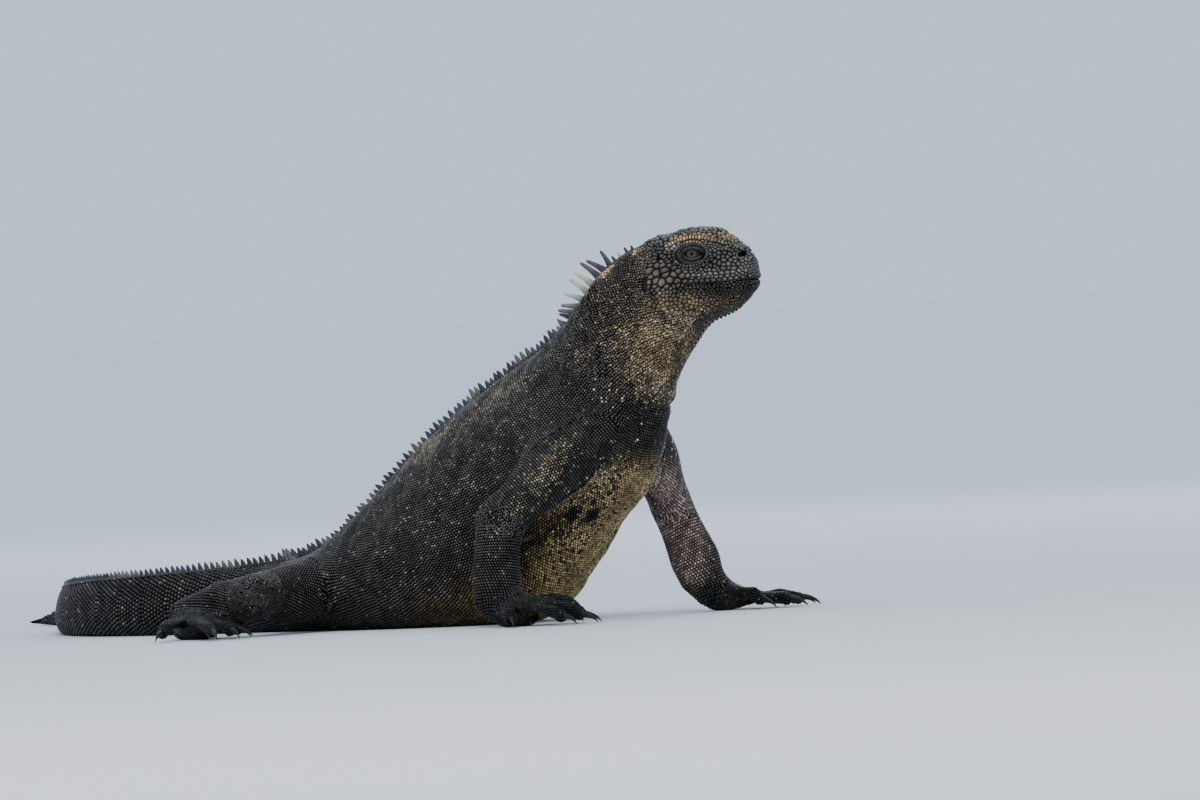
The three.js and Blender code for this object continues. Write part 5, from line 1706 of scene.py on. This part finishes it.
def eye_axes(side):
    """The eye's centre, and the ways out of it, along the head and up."""
    centre = head_place(EYE["back"], side * EYE["out"], EYE["up"])
    facing = HEAD_TURN + side * EYE["facing"]
    out = np.array([np.cos(facing), np.sin(facing), 0])
    return centre, out, np.cross(np.array([0, 0, 1.0]), out), np.array([0, 0, 1.0])


def eyeball(side):
    """A sphere whose pole faces out; its rings keep their distance from the axis over 5 mm in across."""
    centre, out, along, up = eye_axes(side)
    tilt = np.linspace(0, np.pi, 56)[:, None, None]
    turn = full_turn(56)[None, :, None]
    radius = EYE["radius"]
    rows = centre + radius * (np.cos(tilt) * out + np.sin(tilt) * (np.cos(turn) * along + np.sin(turn) * up))
    ball = mesh_object(f"eyeball_{SIDE_NAMES[side]}", *tube(rows), eye_material)
    offset = places_of(ball) - centre
    far = np.linalg.norm(offset - np.outer(offset @ out, out), axis=1) / 5
    across = np.where(offset @ out > 0, far, 1.0)
    ball.data.attributes.new("across", "FLOAT", "POINT").data.foreach_set("value", across.astype(np.float32))
    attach(ball, "root")
    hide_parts(f"eye_{SIDE_NAMES[side]}")


LID_TINT = colour("#36322f")


def lid_sides(turn):
    """How far a turn round the eye belongs to the upper lid and to the lower one, neither at the corners."""
    return smooth(np.sin(turn), -0.1, 0.5), smooth(-np.sin(turn), 0.05, 0.55)


def lid_place(side, turn, share, under=0.0):
    """A place of the lids, round the opening by turn and from its rim, share 0, out to the orbit, share 1.

    The opening is a pointed oval, longer in front, that widens to the orbit's oval. The lids start on the
    ball, bulge with it and then fall to the skin's level by the 1.8th power of share. The upper one is a
    thick roll off the ball with a crease above it, and the lower one has a thin rim over a crease.
    """
    centre, out, along, up = eye_axes(side)
    turn, share = np.broadcast_arrays(np.asarray(turn, float), np.asarray(share, float))
    above, below = lid_sides(turn)
    half_up = np.where(np.sin(turn) > 0, OPENING["upper"], OPENING["lower"])
    half_long = np.where(side * np.cos(turn) < 0, OPENING["front"], OPENING["rear"])
    rim_a, rim_w = half_long * np.cos(turn), half_up * signed_power(np.sin(turn), 1.3)
    a = rim_a + (ORBIT[0] * np.cos(turn) - rim_a) * share
    w = rim_w + (ORBIT[1] * np.sin(turn) - rim_w) * share
    on_ball = np.sqrt((EYE["radius"] + 0.22) ** 2 - rim_a**2 - rim_w**2)
    fall = share**1.8
    roll = 0.3 * hump(share, 0, 0.08) + 0.85 * hump(share, 0.25, 0.16)
    swell = above * roll + 0.35 * below * hump(share, 0.1, 0.09)
    swell = swell + 0.3 * (above + below) * hump(share, 0.66, 0.12)
    groove = 0.6 * above * hump(share, 0.49, 0.06) + 0.5 * below * hump(share, 0.34, 0.06)
    level = np.interp(turn, EDGE_TURN, edge_level[side], period=2 * np.pi)
    depth = on_ball * (1 - fall) + level * fall + swell - groove - under
    return centre + depth[..., None] * out + a[..., None] * along + w[..., None] * up


def level_of_edge(side):
    """How far out of the eye's centre the skin lies round the orbit, less 0.35 to sink the lids' edge."""
    centre, out, _, _ = eye_axes(side)
    return (snapped(lid_place(side, EDGE_TURN, np.ones(EDGE_COUNT)), 0.0) - centre) @ out - 0.35


# The level of the lids' outer edge is found on the skin in three goes, because the edge moves with it.
EDGE_COUNT = 48
EDGE_TURN = np.arange(EDGE_COUNT) * 2 * np.pi / EDGE_COUNT
edge_level = {-1: np.full(EDGE_COUNT, 1.2), 1: np.full(EDGE_COUNT, 1.2)}
for side in (-1, 1):
    for _ in range(3):
        edge_level[side] = level_of_edge(side)


def lids(side):
    """The lids as one closed roll round the opening: out along the face of the lids and back beneath it."""
    turn = full_turn(96)[:, None]
    share = np.concatenate([np.linspace(0, 1, 26), np.linspace(1, 0, 8)[1:]])[None]
    under = np.concatenate([np.zeros(26), 0.25 + 0.9 * np.sin(np.linspace(0, np.pi, 8))[1:]])[None]
    rows = lid_place(side, turn, share, under)
    piece = mesh_object(f"lids_{SIDE_NAMES[side]}", *ring(rows), skin_material)
    above, below = lid_sides(turn)
    # The lids' tone is painted: a painted highlight along the upper lid's roll, a pale line on the lower
    # lid's rim, and painted shade in the creases above and below, at the edge of the opening and in the
    # corners.
    light = 2.2 * below * hump(share, 0.1, 0.06) + 0.8 * above * hump(share, 0.3, 0.08)
    dark = above * hump(share, 0.5, 0.07) + below * hump(share, 0.34, 0.07) + hump(share, 0, 0.04)
    corner = (1 - above - below) * hump(share, 0.15, 0.25)
    tone = np.clip(1 + light - 0.85 * np.minimum(1, dark + corner), 0.1, 4)
    paint_on(piece, (LID_TINT * tone[..., None]).reshape(-1, 3), np.full(rows.shape[0] * rows.shape[1], 0.7))
    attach(piece, "root")


# Rows of granules: share of the way out to the orbit, size, and whether they run on the lower and upper lid.
LID_BEADS = [
    (0.2, 0.5, True, True), (0.3, 0.52, False, True), (0.39, 0.55, False, True), (0.45, 0.65, True, False),
    (0.6, 0.8, True, True), (0.74, 0.9, True, True), (0.92, 1.1, True, True),
]


def lid_beads(side):
    """Fine granules in rows on the lids, whose way out comes from steps round the lids and outwards."""
    found = []
    for share, size, on_lower, on_upper in LID_BEADS:
        around = np.pi * (OPENING["rear"] + ORBIT[0] * share + 2 + ORBIT[1] * share) * 0.55
        count = int(2 * around / (size * 1.02) / 1.1)
        turn = np.arange(count) * 2 * np.pi / count
        turn = turn[np.where(np.sin(turn) > 0, on_upper, on_lower)]
        count = len(turn)
        share = share + 0.03 * (random.random(count) - 0.5)
        place = lid_place(side, turn, share)
        step_round = lid_place(side, turn + 0.02, share) - lid_place(side, turn - 0.02, share)
        step_out = lid_place(side, turn, share + 0.02) - lid_place(side, turn, share - 0.02)
        out = unit(np.cross(step_round, step_out))
        out *= np.sign(out @ eye_axes(side)[1])[:, None]
        found.append({
            "place": place, "back": step_round, "out": out, "size": np.full(count, size),
            "flat": np.stack([turn, share], -1),
        })
    roots = together(*found)
    size = roots["size"]
    shape = raised(roots, oval(size * 0.5, size * 0.46, 8), size * 0.3, BUMPY)
    tint = LID_TINT * (0.5 + 1.3 * random.random(len(size)))[:, None]
    scale_piece(f"lid_granules_{SIDE_NAMES[side]}", roots, shape, tint, plate_material, "skin")


for side in (-1, 1):
    eyeball(side)
    lids(side)
    lid_beads(side)

# Floor, light and camera. The floor is matte paint without shine, a soft grey round the animal that fades to
# near white over 4 m: painted light, so that the far floor shows as bright as the sky behind it.
floor_material, floor_tree, floor_where = new_material("pale studio floor, matte paint")
floor_far = with_node(floor_tree, "VectorMath", None, floor_where, operation="LENGTH")
floor_share = with_node(
    floor_tree, "MapRange", {"From Min": 0.4, "From Max": 4.0},
    {"Value": floor_far.outputs["Value"]}, interpolation_type="SMOOTHSTEP",
)
grey_and_white = {"A": (*colour("#c3c6ca"), 1), "B": (*colour("#f6f8fa"), 1)}
floor_tone = with_node(
    floor_tree, "Mix", grey_and_white, {"Factor": floor_share.outputs["Result"]}, data_type="RGBA"
)
floor_surface = with_node(
    floor_tree, "BsdfPrincipled", {"Roughness": 0.9}, {"Base Color": floor_tone.outputs["Result"]}
)
with_node(floor_tree, "OutputMaterial", None, {"Surface": floor_surface.outputs["BSDF"]})
FLOOR_REACH = 60_000.0
corners = np.array([[-1, -1, 0], [1, -1, 0], [1, 1, 0], [-1, 1, 0]]) * FLOOR_REACH
floor = mesh_object("floor", corners, np.array([[0, 1, 2], [0, 2, 3]]), floor_material)

world = bpy.data.worlds.new("soft studio light")
bpy.context.scene.world = world
world.use_nodes = True
background = world.node_tree.nodes["Background"]
background.inputs["Color"].default_value = (*colour("#bfd0e6"), 1)
background.inputs["Strength"].default_value = 1.35


def soft_light(name, place, aim, size, watts, hex_value):
    """A square area light at a place in metres, turned to face its aim."""
    light = bpy.data.lights.new(name, "AREA")
    light.size = size
    light.energy = watts
    light.color = colour(hex_value)
    lamp = bpy.data.objects.new(name, light)
    back = unit(np.array(place, float) - np.array(aim, float))
    right = unit(np.cross([0, 0, 1.0], back))
    lamp.matrix_world = placed(right, np.cross(back, right), back, place)
    bpy.context.scene.collection.objects.link(lamp)


def placed(right, up, back, place):
    """A matrix whose columns are three axes and a place."""
    columns = np.eye(4)
    columns[:3] = np.stack([right, up, back, np.array(place, float)], -1)
    return Matrix(columns.tolist())


LIGHTS_AIM = (0.1, 0, 0.1)
soft_light("key", (0.9, -1.6, 2.0), LIGHTS_AIM, 1.4, 50, "#fff6ea")
soft_light("fill", (-1.6, -1.2, 1.5), LIGHTS_AIM, 1.8, 14, "#e6eefc")
soft_light("rim", (-0.4, 2.0, 1.6), LIGHTS_AIM, 1.6, 22, "#eef3ff")

# The camera faces the animal's right side, 30 degrees round towards its head and half a degree up, and is
# rolled by 3 degrees. At 6 m the frame spans 576 mm.
AZIMUTH, ELEVATION, ROLL = np.radians([30, 0.5, 3])
DISTANCE = 6.0
FRAME_WIDTH = 0.576
SENSOR = 36
AIM_RIGHT = -13.7  # millimetres from the animal's own origin to the middle of the picture
AIM_UP = 105.5
back = np.array([
    np.sin(AZIMUTH) * np.cos(ELEVATION), -np.cos(AZIMUTH) * np.cos(ELEVATION), np.sin(ELEVATION)
])
right = np.array([np.cos(AZIMUTH), np.sin(AZIMUTH), 0])
up = np.cross(back, right)
aim = (right * AIM_RIGHT + np.array([0, 0, AIM_UP])) * MM + SHIFT
tipped_right = np.cos(ROLL) * right - np.sin(ROLL) * up
tipped_up = np.sin(ROLL) * right + np.cos(ROLL) * up
lens = bpy.data.cameras.new("camera")
lens.sensor_width = SENSOR
lens.lens = SENSOR * DISTANCE / FRAME_WIDTH
lens.clip_end = 200
camera = bpy.data.objects.new("camera", lens)
camera.matrix_world = placed(tipped_right, tipped_up, back, aim + back * DISTANCE)
bpy.context.scene.collection.objects.link(camera)
bpy.context.scene.camera = camera
